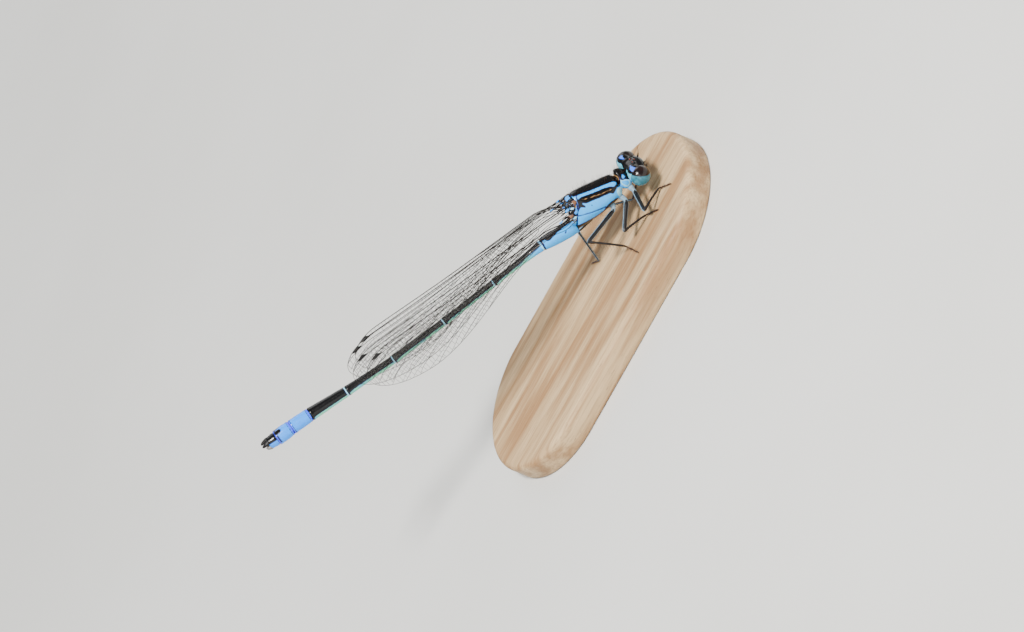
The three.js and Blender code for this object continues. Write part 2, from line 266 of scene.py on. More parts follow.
def carried(shown: Solid, slot: str, nodes: list[str] | None = None) -> Solid:
    """Fixes a finished piece to the model, hides the solids it stands for and logs its finish's name.

    Args:
        shown: the piece.
        slot: the finish's name, which is logged.
        nodes: the solids that it stands for.

    Returns:
        The piece.
    """
    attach(shown, ROOT)
    if nodes:
        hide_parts(*nodes)
    LOG.info("%s: %d faces, finish %s", shown.name, len(shown.data.polygons), slot)
    return shown


def dressed(name: str, skin: Skin, finish: bpy.types.Material, slot: str, nodes: list[str] | None = None,
            marks: dict | None = None) -> Solid:
    """Makes a piece out of body-frame places, dresses it and fixes it to the model.

    Args:
        name: the piece's name.
        skin: its places in millimetres and its faces.
        finish: its material.
        slot: the finish's name, which is logged.
        nodes: the solids that it stands for.
        marks: values held at each point, by name.

    Returns:
        The finished piece, at the origin.
    """
    shown = solid(name, standing(skin[0]), skin[1], marks)
    shown.data.materials.append(finish)
    return carried(shown, slot, nodes)


def facing_out(points: np.ndarray, faces: list) -> list:
    """Turns every face round if the skin they close is inside out.

    Args:
        points: the skin's points.
        faces: its faces.

    Returns:
        The faces, all of them facing out.
    """
    volume = 0.0
    for face in faces:
        first = points[face[0]]
        for second, third in zip(face[1:-1], face[2:]):
            volume += float(np.dot(first, np.cross(points[second], points[third])))
    return faces if volume > 0 else [tuple(reversed(face)) for face in faces]


def lofted(*parts: np.ndarray) -> Skin:
    """Joins each part's rings of places into a closed skin that faces out, with a point at each end.

    Args:
        parts: arrays of (rings, around, 3).

    Returns:
        The points and faces of all the parts together.
    """
    points, faces = [], []
    for rings in parts:
        count, around = rings.shape[:2]
        part = np.vstack([rings.reshape(-1, 3), rings[0].mean(0)[None], rings[-1].mean(0)[None]])
        turns = [(turn, (turn + 1) % around) for turn in range(around)]
        sides = [(here + turn, here + after, here + around + after, here + around + turn)
                 for here in range(0, (count - 1) * around, around) for turn, after in turns]
        first, last, end = count * around, count * around + 1, (count - 1) * around
        for turn, after in turns:
            sides += [(first, after, turn), (last, end + turn, end + after)]
        sides = facing_out(part - part.mean(0), sides)
        faces += [tuple(index + len(points) for index in side) for side in sides]
        points += part.tolist()
    return np.array(points), faces


def slab(upper: np.ndarray, lower: np.ndarray) -> Skin:
    """Closes two matching grids of places into one thin skin.

    Args:
        upper: the one side's grid of places.
        lower: the other side's.

    Returns:
        The skin's points and faces.
    """
    rows, columns = upper.shape[:2]
    points, count, faces = np.vstack([upper.reshape(-1, 3), lower.reshape(-1, 3)]), rows * columns, []
    for first in (row * columns + column for row in range(rows - 1) for column in range(columns - 1)):
        quad = (first, first + 1, first + columns + 1, first + columns)
        faces += [quad, tuple(index + count for index in reversed(quad))]
    rim = list(range(columns)) + [row * columns + columns - 1 for row in range(1, rows)]
    rim += [(rows - 1) * columns + column for column in range(columns - 2, -1, -1)]
    rim += [row * columns for row in range(rows - 2, 0, -1)]
    faces += [(there, here, here + count, there + count) for here, there in zip(rim, rim[1:] + rim[:1])]
    return points, facing_out(points, faces)


def swept(path: np.ndarray, radii: np.ndarray, around: int, out: np.ndarray) -> tuple:
    """Sweeps a round section along a path.

    Args:
        path: the places along the middle.
        radii: the radius at each place.
        around: how many points each ring has.
        out: the direction that the ring's first point leans to.

    Returns:
        The rings, and for each ring point the angle from the out direction.
    """
    run = np.gradient(path, axis=0)
    run /= np.linalg.norm(run, axis=1)[:, None]
    first = out - (run @ out)[:, None] * run
    first /= np.linalg.norm(first, axis=1)[:, None]
    second = np.cross(run, first)
    angle = np.linspace(0.0, TURN, around, endpoint=False)
    cos, sin = np.cos(angle)[None, :, None], np.sin(angle)[None, :, None]
    rings = path[:, None, :] + radii[:, None, None] * (first[:, None, :] * cos + second[:, None, :] * sin)
    return rings, np.tile(np.minimum(angle, TURN - angle), len(path))


def ball_rings(middle: tuple, half: tuple, count: int, around: int) -> np.ndarray:
    """Builds the rings of an ellipsoid along y.

    Args:
        middle: the ellipsoid's middle.
        half: its half sizes.
        count: how many rings it has.
        around: how many points a ring has.

    Returns:
        An array of (rings, around, 3).
    """
    down = np.linspace(0.0, math.pi, count + 2)[1:-1]
    turn = np.linspace(0.0, TURN, around, endpoint=False)
    x = np.sin(down)[:, None] * np.cos(turn) * half[0] + middle[0]
    z = np.sin(down)[:, None] * np.sin(turn) * half[2] + middle[2]
    y = np.repeat(np.cos(down)[:, None] * half[1] + middle[1], around, axis=1)
    return np.stack([x, y, z], axis=2)


def moulded(lumps: list, voxel: float) -> Skin:
    """Melts rounded lumps into one closed skin.

    Args:
        lumps: pairs of (middle, half sizes) in millimetres.
        voxel: how fine the skin is, in millimetres.

    Returns:
        The skin's places in millimetres, and its faces.
    """
    points, faces = lofted(*(ball_rings(middle, half, 28, 48) for middle, half in lumps))
    mesh = bpy.data.meshes.new("lump_form")
    mesh.from_pydata(points.tolist(), [], faces)
    form = linked("lump_form", mesh)
    melt = form.modifiers.new("melt", "REMESH")
    melt.mode, melt.voxel_size = "VOXEL", voxel
    calm = form.modifiers.new("calm", "SMOOTH")
    calm.factor, calm.iterations = 0.6, 10
    seen = bpy.context.evaluated_depsgraph_get()
    skin = bpy.data.meshes.new_from_object(form.evaluated_get(seen))
    bpy.data.objects.remove(form)
    spots = np.zeros(len(skin.vertices) * 3)
    skin.vertices.foreach_get("co", spots)
    return spots.reshape(-1, 3), [tuple(side.vertices) for side in skin.polygons]


def tint(red: int, green: int, blue: int) -> tuple[float, float, float, float]:
    """Turns a colour as seen, 0 to 255, into the linear values that a shader takes."""
    shares = [part / 255.0 for part in (red, green, blue)]
    linear = [s / 12.92 if s <= 0.04045 else ((s + 0.055) / 1.055) ** 2.4 for s in shares]
    return (*linear, 1.0)


class Nodes:
    """A node tree, with a short way to add a node."""

    def __init__(self, tree: bpy.types.NodeTree) -> None:
        """Starts on a tree."""
        self.tree = tree

    def add(self, kind: str, inputs: dict | None = None, **settings: object) -> bpy.types.Node:
        """Adds a node.

        Args:
            kind: the node's type.
            inputs: what each input gets, a socket to join or a plain value.
            settings: the node's own settings.

        Returns:
            The node.
        """
        node = self.tree.nodes.new(kind)
        for name, value in settings.items():
            setattr(node, name, value)
        for place, value in (inputs or {}).items():
            if isinstance(value, Socket):
                self.tree.links.new(value, node.inputs[place])
            else:
                node.inputs[place].default_value = value
        return node


class Shading(Nodes):
    """One material's nodes, with short ways to add and join them."""

    def __init__(self, name: str) -> None:
        """Starts an empty material with a shader on its output.

        Args:
            name: the material's name.
        """
        self.material = bpy.data.materials.new(name)
        self.material.use_nodes = True
        super().__init__(self.material.node_tree)
        self.shader = self.tree.nodes["Principled BSDF"]

    def set(self, **values: float) -> None:
        """Sets the shader's own sockets, named with underscores."""
        for name, value in values.items():
            self.shader.inputs[name.replace("_", " ").title().replace("Ior", "IOR")].default_value = value

    def feed(self, name: str, source: Socket) -> None:
        """Joins a value to one of the shader's sockets."""
        self.tree.links.new(source, self.shader.inputs[name])

    def mark(self, name: str) -> Socket:
        """Reads a value that the mesh holds at its points."""
        return self.add("ShaderNodeAttribute", attribute_name=name).outputs["Fac"]

    def place(self, stretch: tuple[float, float, float] = (1.0, 1.0, 1.0)) -> Socket:
        """Reads the place on the object, in stretched millimetres."""
        place = self.add("ShaderNodeTexCoord").outputs["Object"]
        scale = [part / MM for part in stretch]
        return self.add("ShaderNodeMapping", {"Scale": scale, "Vector": place}).outputs["Vector"]

    def noise(self, scale: float, detail: float = 3.0, **stretch: tuple) -> Socket:
        """Makes cloudy noise, with its scale in turns per millimetre."""
        inputs = {"Scale": scale, "Detail": detail, "Vector": self.place(**stretch)}
        return self.add("ShaderNodeTexNoise", inputs).outputs["Fac"]

    def cells(self, scale: float) -> Socket:
        """Makes a pattern of cells, with its scale in cells per millimetre."""
        return self.add("ShaderNodeTexVoronoi", {"Scale": scale, "Vector": self.place()}).outputs["Distance"]

    def sum(self, kind: str, first: object, second: object) -> Socket:
        """Does one sum on two values."""
        return self.add("ShaderNodeMath", {0: first, 1: second}, operation=kind).outputs[0]

    def ramp(self, value: object, low: float, high: float, start: float = 0.0, end: float = 1.0) -> Socket:
        """Maps a value smoothly from low and high onto start and end."""
        inputs = dict(enumerate((value, low, high, start, end)))
        return self.add("ShaderNodeMapRange", inputs, interpolation_type="SMOOTHSTEP").outputs["Result"]

    def mix(self, share: object, first: object, second: object) -> Socket:
        """Blends two colours."""
        return self.add("ShaderNodeMix", {0: share, 6: first, 7: second}, data_type="RGBA").outputs[2]

    def bump(self, height: Socket, depth: float, strength: float, **under: Socket) -> Socket:
        """Turns a height into fine relief, depth in millimetres, over another Normal if given."""
        inputs = {"Strength": strength, "Distance": depth * MM, "Height": height, **under}
        return self.add("ShaderNodeBump", inputs).outputs["Normal"]

    def wander(self, scale: float, detail: float, reach: float) -> Socket:
        """Makes noise that swings to either side of nothing."""
        return self.sum("MULTIPLY", self.sum("SUBTRACT", self.noise(scale, detail), 0.5), reach)

    def frayed(self, mark: str, wander: Socket) -> Socket:
        """Reads a mark's depth with its edge frayed."""
        return self.sum("ADD", self.mark(mark), wander)

    def rough(self, scale: float, detail: float, low: float, high: float) -> None:
        """Lets the roughness drift between two values."""
        self.feed("Roughness", self.ramp(self.noise(scale, detail), 0.2, 0.8, low, high))

    def grain(self, scale: float, detail: float, depth: float, strength: float) -> None:
        """Gives the surface a fine grain."""
        self.feed("Normal", self.bump(self.noise(scale, detail), depth, strength))


@dataclass(frozen=True)
class Finish:
    """A material made of nodes alone, which each kind paints in its own way."""

    name: str

    def paint(self, made: Shading) -> None:
        """Joins up the material's nodes."""
        raise NotImplementedError

    def build(self) -> bpy.types.Material:
        """Builds the material."""
        made = Shading(self.name)
        self.paint(made)
        return made.material


@dataclass(frozen=True)
class Cuticle(Finish):
    """Satin insect skin: two ground colours and the marks that the mesh holds as depths."""

    ground: tuple = tint(26, 170, 255)
    ground_rear: tuple = tint(112, 204, 160)
    ground_tip: tuple = tint(0, 138, 255)
    violet: tuple = tint(58, 84, 255)
    shade: tuple = tint(22, 134, 245)
    black: tuple = tint(5, 5, 6)
    black_light: tuple = tint(15, 13, 13)
    fringe: tuple = tint(40, 38, 110)
    tan: tuple = tint(140, 104, 66)
    pale: tuple = tint(150, 218, 240)
    navy: tuple = tint(10, 14, 60)
    edge: float = 0.02

    def paint(self, made: Shading) -> None:
        """Lays the marks over the ground, the black ones with a dark blue fringe.

        Args:
            made: the material being painted.
        """
        patch, edge = made.noise(2.2, 4.0), self.edge
        wander = made.wander(9.0, 4.0, 0.07)
        depth = {mark: made.frayed(mark, wander) for mark in ("pale", "navy", "black", "tan")}
        ground = made.mix(made.mark("rear"), self.ground, self.ground_rear)
        ground = made.mix(made.mark("tip"), ground, self.ground_tip)
        ground = made.mix(made.ramp(patch, 0.45, 0.75, 0.0, 0.35), ground, self.shade)
        ground = made.mix(made.ramp(made.noise(30.0, 3.0), 0.35, 0.8, 0.0, 0.12), ground, self.pale)
        light = made.mix(made.mark("tip"), self.pale, self.violet)
        ground = made.mix(made.ramp(depth["pale"], -edge, edge), ground, light)
        ground = made.mix(made.ramp(depth["navy"], -edge, edge), ground, self.navy)
        ground = made.mix(made.ramp(depth["black"], -edge * 2.2, 0.0), ground, self.fringe)
        soft = made.mix(made.ramp(patch, 0.4, 0.7, 0.0, 0.6), self.black, self.black_light)
        ground = made.mix(made.ramp(depth["black"], -edge * 0.4, edge * 1.2), ground, soft)
        made.feed("Base Color", made.mix(made.ramp(depth["tan"], -edge, edge), ground, self.tan))
        made.rough(14.0, 3.0, 0.18, 0.3)
        relief = made.bump(made.noise(26.0, 4.0), 0.006, 0.3)
        made.feed("Normal", made.bump(made.cells(22.0), 0.003, 0.2, Normal=relief))
        made.set(coat_weight=0.2, coat_roughness=0.1, specular_ior_level=0.22)


@dataclass(frozen=True)
class EyeSkin(Finish):
    """The compound eye: a dark brown cap over blue-green, with fine facets and a clear gloss."""

    name: str = "eye_facets"
    cap: tuple = tint(12, 4, 3)
    cap_light: tuple = tint(32, 13, 8)
    lower: tuple = tint(34, 98, 116)
    lower_light: tuple = tint(60, 132, 150)
    rim: tuple = tint(96, 178, 196)

    def paint(self, made: Shading) -> None:
        """Lays the cap and the pale inner rim over the lower eye.

        Args:
            made: the material being painted.
        """
        cloud = made.ramp(made.noise(3.0, 3.0), 0.35, 0.7)
        cap = made.mix(cloud, self.cap, self.cap_light)
        lower = made.mix(cloud, self.lower, self.lower_light)
        colour = made.mix(made.ramp(made.frayed("cap", made.wander(5.0, 3.0, 0.1)), -0.05, 0.05), lower, cap)
        rim = made.ramp(made.mark("rim"), -0.06, 0.04, 0.0, 0.85)
        made.feed("Base Color", made.mix(rim, colour, self.rim))
        made.feed("Normal", made.bump(made.cells(34.0), 0.006, 0.45))
        made.rough(6.0, 2.0, 0.16, 0.26)
        made.set(coat_weight=0.35, coat_roughness=0.08, specular_ior_level=0.3)


@dataclass(frozen=True)
class WingFilm(Finish):
    """The clear wing membrane, nearly colourless, with a faint sheen."""

    name: str = "wing_film"
    clear: float = 0.004
    glance: float = 0.08
    amber: tuple = tint(150, 112, 74)

    def paint(self, made: Shading) -> None:
        """Makes the film clear face on, amber at its root and fuller at a glance.

        Args:
            made: the material being painted.
        """
        warm = made.mix(made.noise(0.6, 2.0), tint(190, 184, 170), tint(215, 214, 210))
        made.feed("Base Color", made.mix(made.mark("root"), warm, self.amber))
        facing = made.add("ShaderNodeLayerWeight", {"Blend": 0.25}).outputs["Facing"]
        glance = made.sum("MULTIPLY", made.sum("POWER", facing, 3.0), self.glance)
        base = made.sum("ADD", made.sum("MULTIPLY", made.mark("root"), 0.3), self.clear)
        made.feed("Alpha", made.sum("ADD", base, glance))
        made.rough(3.0, 3.0, 0.12, 0.3)
        made.grain(2.6, 3.0, 0.05, 0.5)
        made.set(specular_ior_level=0.8)


@dataclass(frozen=True)
class Horn(Finish):
    """Plain hard cuticle for veins, spots, bristles, claws and feelers."""

    dark: tuple
    light: tuple
    rough: float = 0.38

    def paint(self, made: Shading) -> None:
        """Clouds the dark colour with the light one.

        Args:
            made: the material being painted.
        """
        cloud = made.ramp(made.noise(4.0, 4.0), 0.35, 0.7)
        made.feed("Base Color", made.mix(cloud, self.dark, self.light))
        made.rough(20.0, 3.0, self.rough - 0.08, self.rough + 0.1)
        made.grain(40.0, 3.0, 0.006, 0.5)
        made.set(specular_ior_level=0.32)


@dataclass(frozen=True)
class LimbSkin(Finish):
    """Leg skin: pale blue-grey with a black stripe, brown on the feet."""

    name: str = "limb_skin"
    pale: tuple = tint(134, 166, 186)
    pale_shade: tuple = tint(96, 130, 156)
    black: tuple = tint(7, 6, 9)
    foot: tuple = tint(38, 22, 15)
    foot_light: tuple = tint(74, 46, 30)

    def paint(self, made: Shading) -> None:
        """Lays the stripe over the pale skin, and brown over both on the foot.

        Args:
            made: the material being painted.
        """
        cloud = made.noise(6.0, 4.0)
        pale = made.mix(made.ramp(cloud, 0.4, 0.75, 0.0, 0.5), self.pale, self.pale_shade)
        stripe = made.ramp(made.frayed("black", made.wander(12.0, 4.0, 0.05)), -0.02, 0.015)
        brown = made.mix(made.ramp(cloud, 0.35, 0.7), self.foot, self.foot_light)
        made.feed("Base Color", made.mix(made.mark("foot"), made.mix(stripe, pale, self.black), brown))
        made.rough(20.0, 3.0, 0.32, 0.5)
        made.grain(34.0, 3.0, 0.008, 0.5)
        made.set(coat_weight=0.1, coat_roughness=0.3, specular_ior_level=0.45)


@dataclass(frozen=True)
class OiledWood(Finish):
    """Light fine-grained wood with growth lines along the base."""

    name: str = "oiled_wood"
    light: tuple = tint(206, 176, 134)
    dark: tuple = tint(160, 122, 82)
    line: tuple = tint(128, 92, 58)
    pore: tuple = tint(96, 66, 42)

    def paint(self, made: Shading) -> None:
        """Draws rings, grain and pores out along the board.

        Args:
            made: the material being painted.
        """
        rings = made.noise(0.9, 5.0, stretch=(0.08, 1.0, 1.0))
        grain = made.noise(7.0, 4.0, stretch=(0.05, 1.0, 1.0))
        pores = made.noise(16.0, 2.0, stretch=(0.09, 1.0, 1.0))
        colour = made.mix(made.ramp(rings, 0.35, 0.65), self.light, self.dark)
        colour = made.mix(made.ramp(grain, 0.4, 0.75, 0.0, 0.45), colour, self.line)
        made.feed("Base Color", made.mix(made.ramp(pores, 0.66, 0.74, 0.0, 0.6), colour, self.pore))
        made.feed("Roughness", made.ramp(grain, 0.3, 0.7, 0.48, 0.66))
        made.feed("Normal", made.bump(made.sum("ADD", grain, pores), 0.03, 0.35))
        made.set(specular_ior_level=0.35)


@dataclass(frozen=True)
class PaleFloor(Finish):
    """Matt pale studio floor with the faintest mottling."""

    name: str = "pale_floor"
    shade: tuple = tint(214, 214, 210)
    light: tuple = tint(222, 222, 219)

    def paint(self, made: Shading) -> None:
        """Mottles the floor."""
        made.feed("Base Color", made.mix(made.ramp(made.noise(0.02, 4.0), 0.3, 0.7), self.shade, self.light))
        made.rough(0.8, 3.0, 0.7, 0.85)
        made.set(specular_ior_level=0.2)


class Growth(Nodes):
    """Geometry Nodes that grow one piece over points or lines, as real geometry in one finish."""

    def __init__(self, name: str, measure: str) -> None:
        """Starts the group, with the named measure and the finish as its inputs.

        Args:
            name: the group's name.
            measure: what its one size is called.
        """
        super().__init__(bpy.data.node_groups.new(name, "GeometryNodeTree"))
        face = self.tree.interface
        face.new_socket("Geometry", in_out="INPUT", socket_type="NodeSocketGeometry")
        self.measure = face.new_socket(measure, in_out="INPUT", socket_type="NodeSocketFloat")
        self.finish = face.new_socket("Finish", in_out="INPUT", socket_type="NodeSocketMaterial")
        face.new_socket("Geometry", in_out="OUTPUT", socket_type="NodeSocketGeometry")
        self.start = self.add("NodeGroupInput").outputs

    def end(self, geometry: Socket) -> None:
        """Makes what has grown real, dresses it and hands it out.

        Args:
            geometry: what has grown.
        """
        real = self.add("GeometryNodeRealizeInstances", {"Geometry": geometry}).outputs["Geometry"]
        inputs = {"Geometry": real, "Material": self.start["Finish"]}
        dress = self.add("GeometryNodeSetMaterial", inputs)
        self.add("NodeGroupOutput", {"Geometry": dress.outputs["Geometry"]})

    def settled(self, source: Solid, name: str, measure: float, finish: bpy.types.Material) -> Solid:
        """Runs the group on a source object and keeps the result as a plain mesh.

        Args:
            source: what the group grows over, which is taken away afterwards.
            name: the result's name.
            measure: the value of the group's measure.
            finish: the piece's material.

        Returns:
            The new object.
        """
        grown = source.modifiers.new("grown", "NODES")
        grown.node_group = self.tree
        grown[self.measure.identifier] = measure
        grown[self.finish.identifier] = finish
        seen = bpy.context.evaluated_depsgraph_get()
        mesh = bpy.data.meshes.new_from_object(source.evaluated_get(seen))
        mesh.name = name
        source.modifiers.remove(grown)
        bpy.data.objects.remove(source)
        return linked(name, mesh)


class Sprouts(Growth):
    """Stands a tapered spike on each point of a cloud of points."""

    def __init__(self, sides: int = 3) -> None:
        """Builds the node group: sides is how many edges round a spike has.

        Args:
            sides: how many edges a spike has round it.
        """
        super().__init__("sprouts", "Thickness")
        sizes = {"Vertices": sides, "Radius Top": 0.15, "Radius Bottom": 1.0, "Depth": 1.0}
        spike = self.add("GeometryNodeMeshCone", sizes, fill_type="NGON").outputs["Mesh"]
        lean = self.add("GeometryNodeInputNamedAttribute", data_type="FLOAT_VECTOR")
        lean.inputs["Name"].default_value = "lean"
        reach = self.add("GeometryNodeInputNamedAttribute", {"Name": "reach"}).outputs["Attribute"]
        turn = self.add("FunctionNodeAlignRotationToVector", {"Vector": lean.outputs["Attribute"]}, axis="Z")
        thick = self.start["Thickness"]
        size = self.add("ShaderNodeCombineXYZ", {"X": thick, "Y": thick, "Z": reach}).outputs["Vector"]
        places = {"Points": self.start["Geometry"], "Instance": spike, "Rotation": turn.outputs["Rotation"]}
        stand = self.add("GeometryNodeInstanceOnPoints", {**places, "Scale": size})
        self.end(stand.outputs["Instances"])

    def grow(self, name: str, plan: tuple, thickness: float, finish: bpy.types.Material) -> Solid:
        """Grows one piece of spikes.

        Args:
            name: the piece's name.
            plan: the spikes' roots in millimetres, the ways they point and their lengths.
            thickness: the radius at a spike's foot in millimetres.
            finish: the spikes' material.

        Returns:
            The piece, as a plain mesh.
        """
        roots, leans, reaches = (np.array(part) for part in plan)
        leans = leans / np.linalg.norm(leans, axis=1)[:, None]
        feet = standing(roots)
        source = solid(name + "_roots", feet, [], {"reach": reaches * MM})
        hold(source.data, "lean", standing(roots + leans) - feet, "FLOAT_VECTOR")
        return self.settled(source, name, thickness * MM, finish)


class Veining(Growth):
    """Turns lines of points into round veins of their own girth."""

    def __init__(self, sides: int = 5) -> None:
        """Builds the node group: sides is how many faces round a vein has.

        Args:
            sides: how many faces a vein has round it.
        """
        super().__init__("veining", "Swell")
        line = self.add("GeometryNodeMeshToCurve", {"Mesh": self.start["Geometry"]}).outputs["Curve"]
        girth = self.add("GeometryNodeInputNamedAttribute", {"Name": "girth"}).outputs["Attribute"]
        wide = self.add("ShaderNodeMath", {0: girth, 1: self.start["Swell"]}, operation="MULTIPLY").outputs[0]
        curve = self.add("GeometryNodeSetCurveRadius", {"Curve": line, "Radius": wide}).outputs["Curve"]
        round_section = {"Resolution": sides, "Radius": 1.0}
        ring = self.add("GeometryNodeCurvePrimitiveCircle", round_section).outputs["Curve"]
        inputs = {"Curve": curve, "Profile Curve": ring, "Fill Caps": True}
        tube = self.add("GeometryNodeCurveToMesh", inputs)
        if "Scale" in tube.inputs:
            self.tree.links.new(self.add("GeometryNodeInputRadius").outputs["Radius"], tube.inputs["Scale"])
        smooth = self.add("GeometryNodeSetShadeSmooth", {"Geometry": tube.outputs["Mesh"]})
        self.end(smooth.outputs["Geometry"])

    def run(self, name: str, lines: list, finish: bpy.types.Material) -> Solid:
        """Makes one piece out of many veins.

        Args:
            name: the piece's name.
            lines: pairs of (places, radii) in millimetres.
            finish: the veins' material.

        Returns:
            The piece, as a plain mesh.
        """
        edges, first = [], 0
        for places, _ in lines:
            edges += [(first + step, first + step + 1) for step in range(len(places) - 1)]
            first += len(places)
        mesh = bpy.data.meshes.new(name + "_lines")
        mesh.from_pydata(standing(np.vstack([places for places, _ in lines])).tolist(), edges, [])
        hold(mesh, "girth", np.concatenate([radii for _, radii in lines]) * MM)
        return self.settled(linked(name + "_lines", mesh), name, 1.0, finish)


@dataclass(frozen=True)
class Ring:
    """One length of the tail: how long, how steeply it climbs to the rear, and its diameters."""

    node: str
    length: float
    climb: float
    girths: tuple[float, ...]


THORAX_VIEW = Tracing(560.0, 170.0, 19.6)
NECK_VIEW = Tracing(606.0, 140.0, 26.13)
TAIL_VIEW = Tracing(520.0, 200.0, 19.6)

BACK_BLACK = [
    (190, 480), (150, 380), (560, 150), (960, 20), (1100, 60), (1190, 200), (1190, 330), (1125, 345),
    (1105, 400), (1065, 470), (1030, 482), (1000, 465), (960, 482), (900, 505), (760, 570),
    (640, 615), (560, 655), (530, 668), (450, 662), (440, 690), (480, 705), (515, 735), (500, 752),
    (450, 742), (400, 762), (385, 800), (368, 740), (366, 690), (345, 640), (322, 560), (322, 500),
    (280, 545), (235, 530),
]
SHOULDER_STRIPE = [
    (331, 515), (440, 470), (560, 430), (700, 375), (850, 310), (1000, 250), (1070, 232),
    (1115, 250), (1128, 285), (1090, 330), (1055, 355), (1000, 345), (900, 370), (800, 410),
    (700, 455), (600, 490), (480, 535), (420, 555), (385, 590), (350, 605), (333, 560),
]
SHOULDER_TAN = [(450, 600), (520, 580), (700, 522), (800, 490), (870, 462), (930, 432), (1010, 398)]
RIM_TAN = [(1062, 112), (1115, 135), (1148, 172), (1160, 208)]
SIDE_SUTURE = [(362, 918), (430, 905), (520, 880), (640, 845), (760, 800), (880, 750), (915, 738)]
BELLY_BLACK = [
    (335, 1095), (400, 1085), (500, 1040), (640, 965), (760, 893), (880, 800), (905, 765),
    (925, 725), (1000, 650), (1080, 590), (1150, 545), (1190, 640), (1100, 780), (900, 980),
    (700, 1140), (360, 1330), (290, 1260),
]
REAR_MARGIN = [(372, 780), (356, 860), (348, 930), (352, 1000), (346, 1100)]
CORNER_SPOT = ((342, 1108), 0.075)
ROOT_TAN = [
    [(165, 610), (265, 590), (318, 670), (335, 760), (290, 800), (235, 740), (190, 700)],
    [(150, 985), (165, 920), (215, 890), (255, 930), (235, 1000), (190, 1030)],
]
ROOT_PALE = [[(230, 1010), (320, 990), (335, 1070), (260, 1095), (190, 1070)]]
ROOT_LINES = [
    [(270, 590), (330, 660), (352, 720), (350, 790)],
    [(165, 600), (190, 700), (240, 760), (300, 810), (350, 800)],
    [(100, 800), (170, 790), (235, 840), (262, 900), (250, 960)],
    [(90, 860), (140, 880), (130, 940), (160, 1000)],
]
PALE_DOTS = [((236, 766), 0.07), ((1112, 235), 0.07), ((1147, 265), 0.085), ((316, 625), 0.06)]
SIDE_SPOT = ((635, 705), 0.05)
COXA_PALE = [(1120, 400), (1180, 340), (1245, 350), (1250, 430), (1215, 505), (1170, 535), (1125, 480)]
COLLAR_BLACK = [
    (200, 900), (180, 740), (480, 730), (600, 860), (660, 1040), (580, 1046), (520, 1030),
    (460, 1064), (400, 1062), (372, 1010), (330, 985), (260, 935),
]
COLLAR_BLUE = [(412, 920), (440, 905), (520, 965), (500, 1000), (460, 1048), (420, 1018)]
LOBE_RIM = [
    (395, 1080), (470, 1066), (580, 1050), (626, 1080), (636, 1150), (590, 1216), (540, 1222),
    (440, 1180), (395, 1115),
]
NECK_BLUE = [(455, 775), (490, 765), (560, 870), (620, 960), (580, 975), (520, 890)]
NEAR_HEART = [
    (625, 690), (650, 680), (690, 720), (780, 740), (795, 760), (730, 830), (690, 870), (650, 840), (620, 790),
]
FAR_HEART = [(330, 480), (420, 400), (460, 420), (445, 460), (500, 500), (490, 530), (380, 520)]
TAIL_DASH = [(912, 622), (900, 660)]


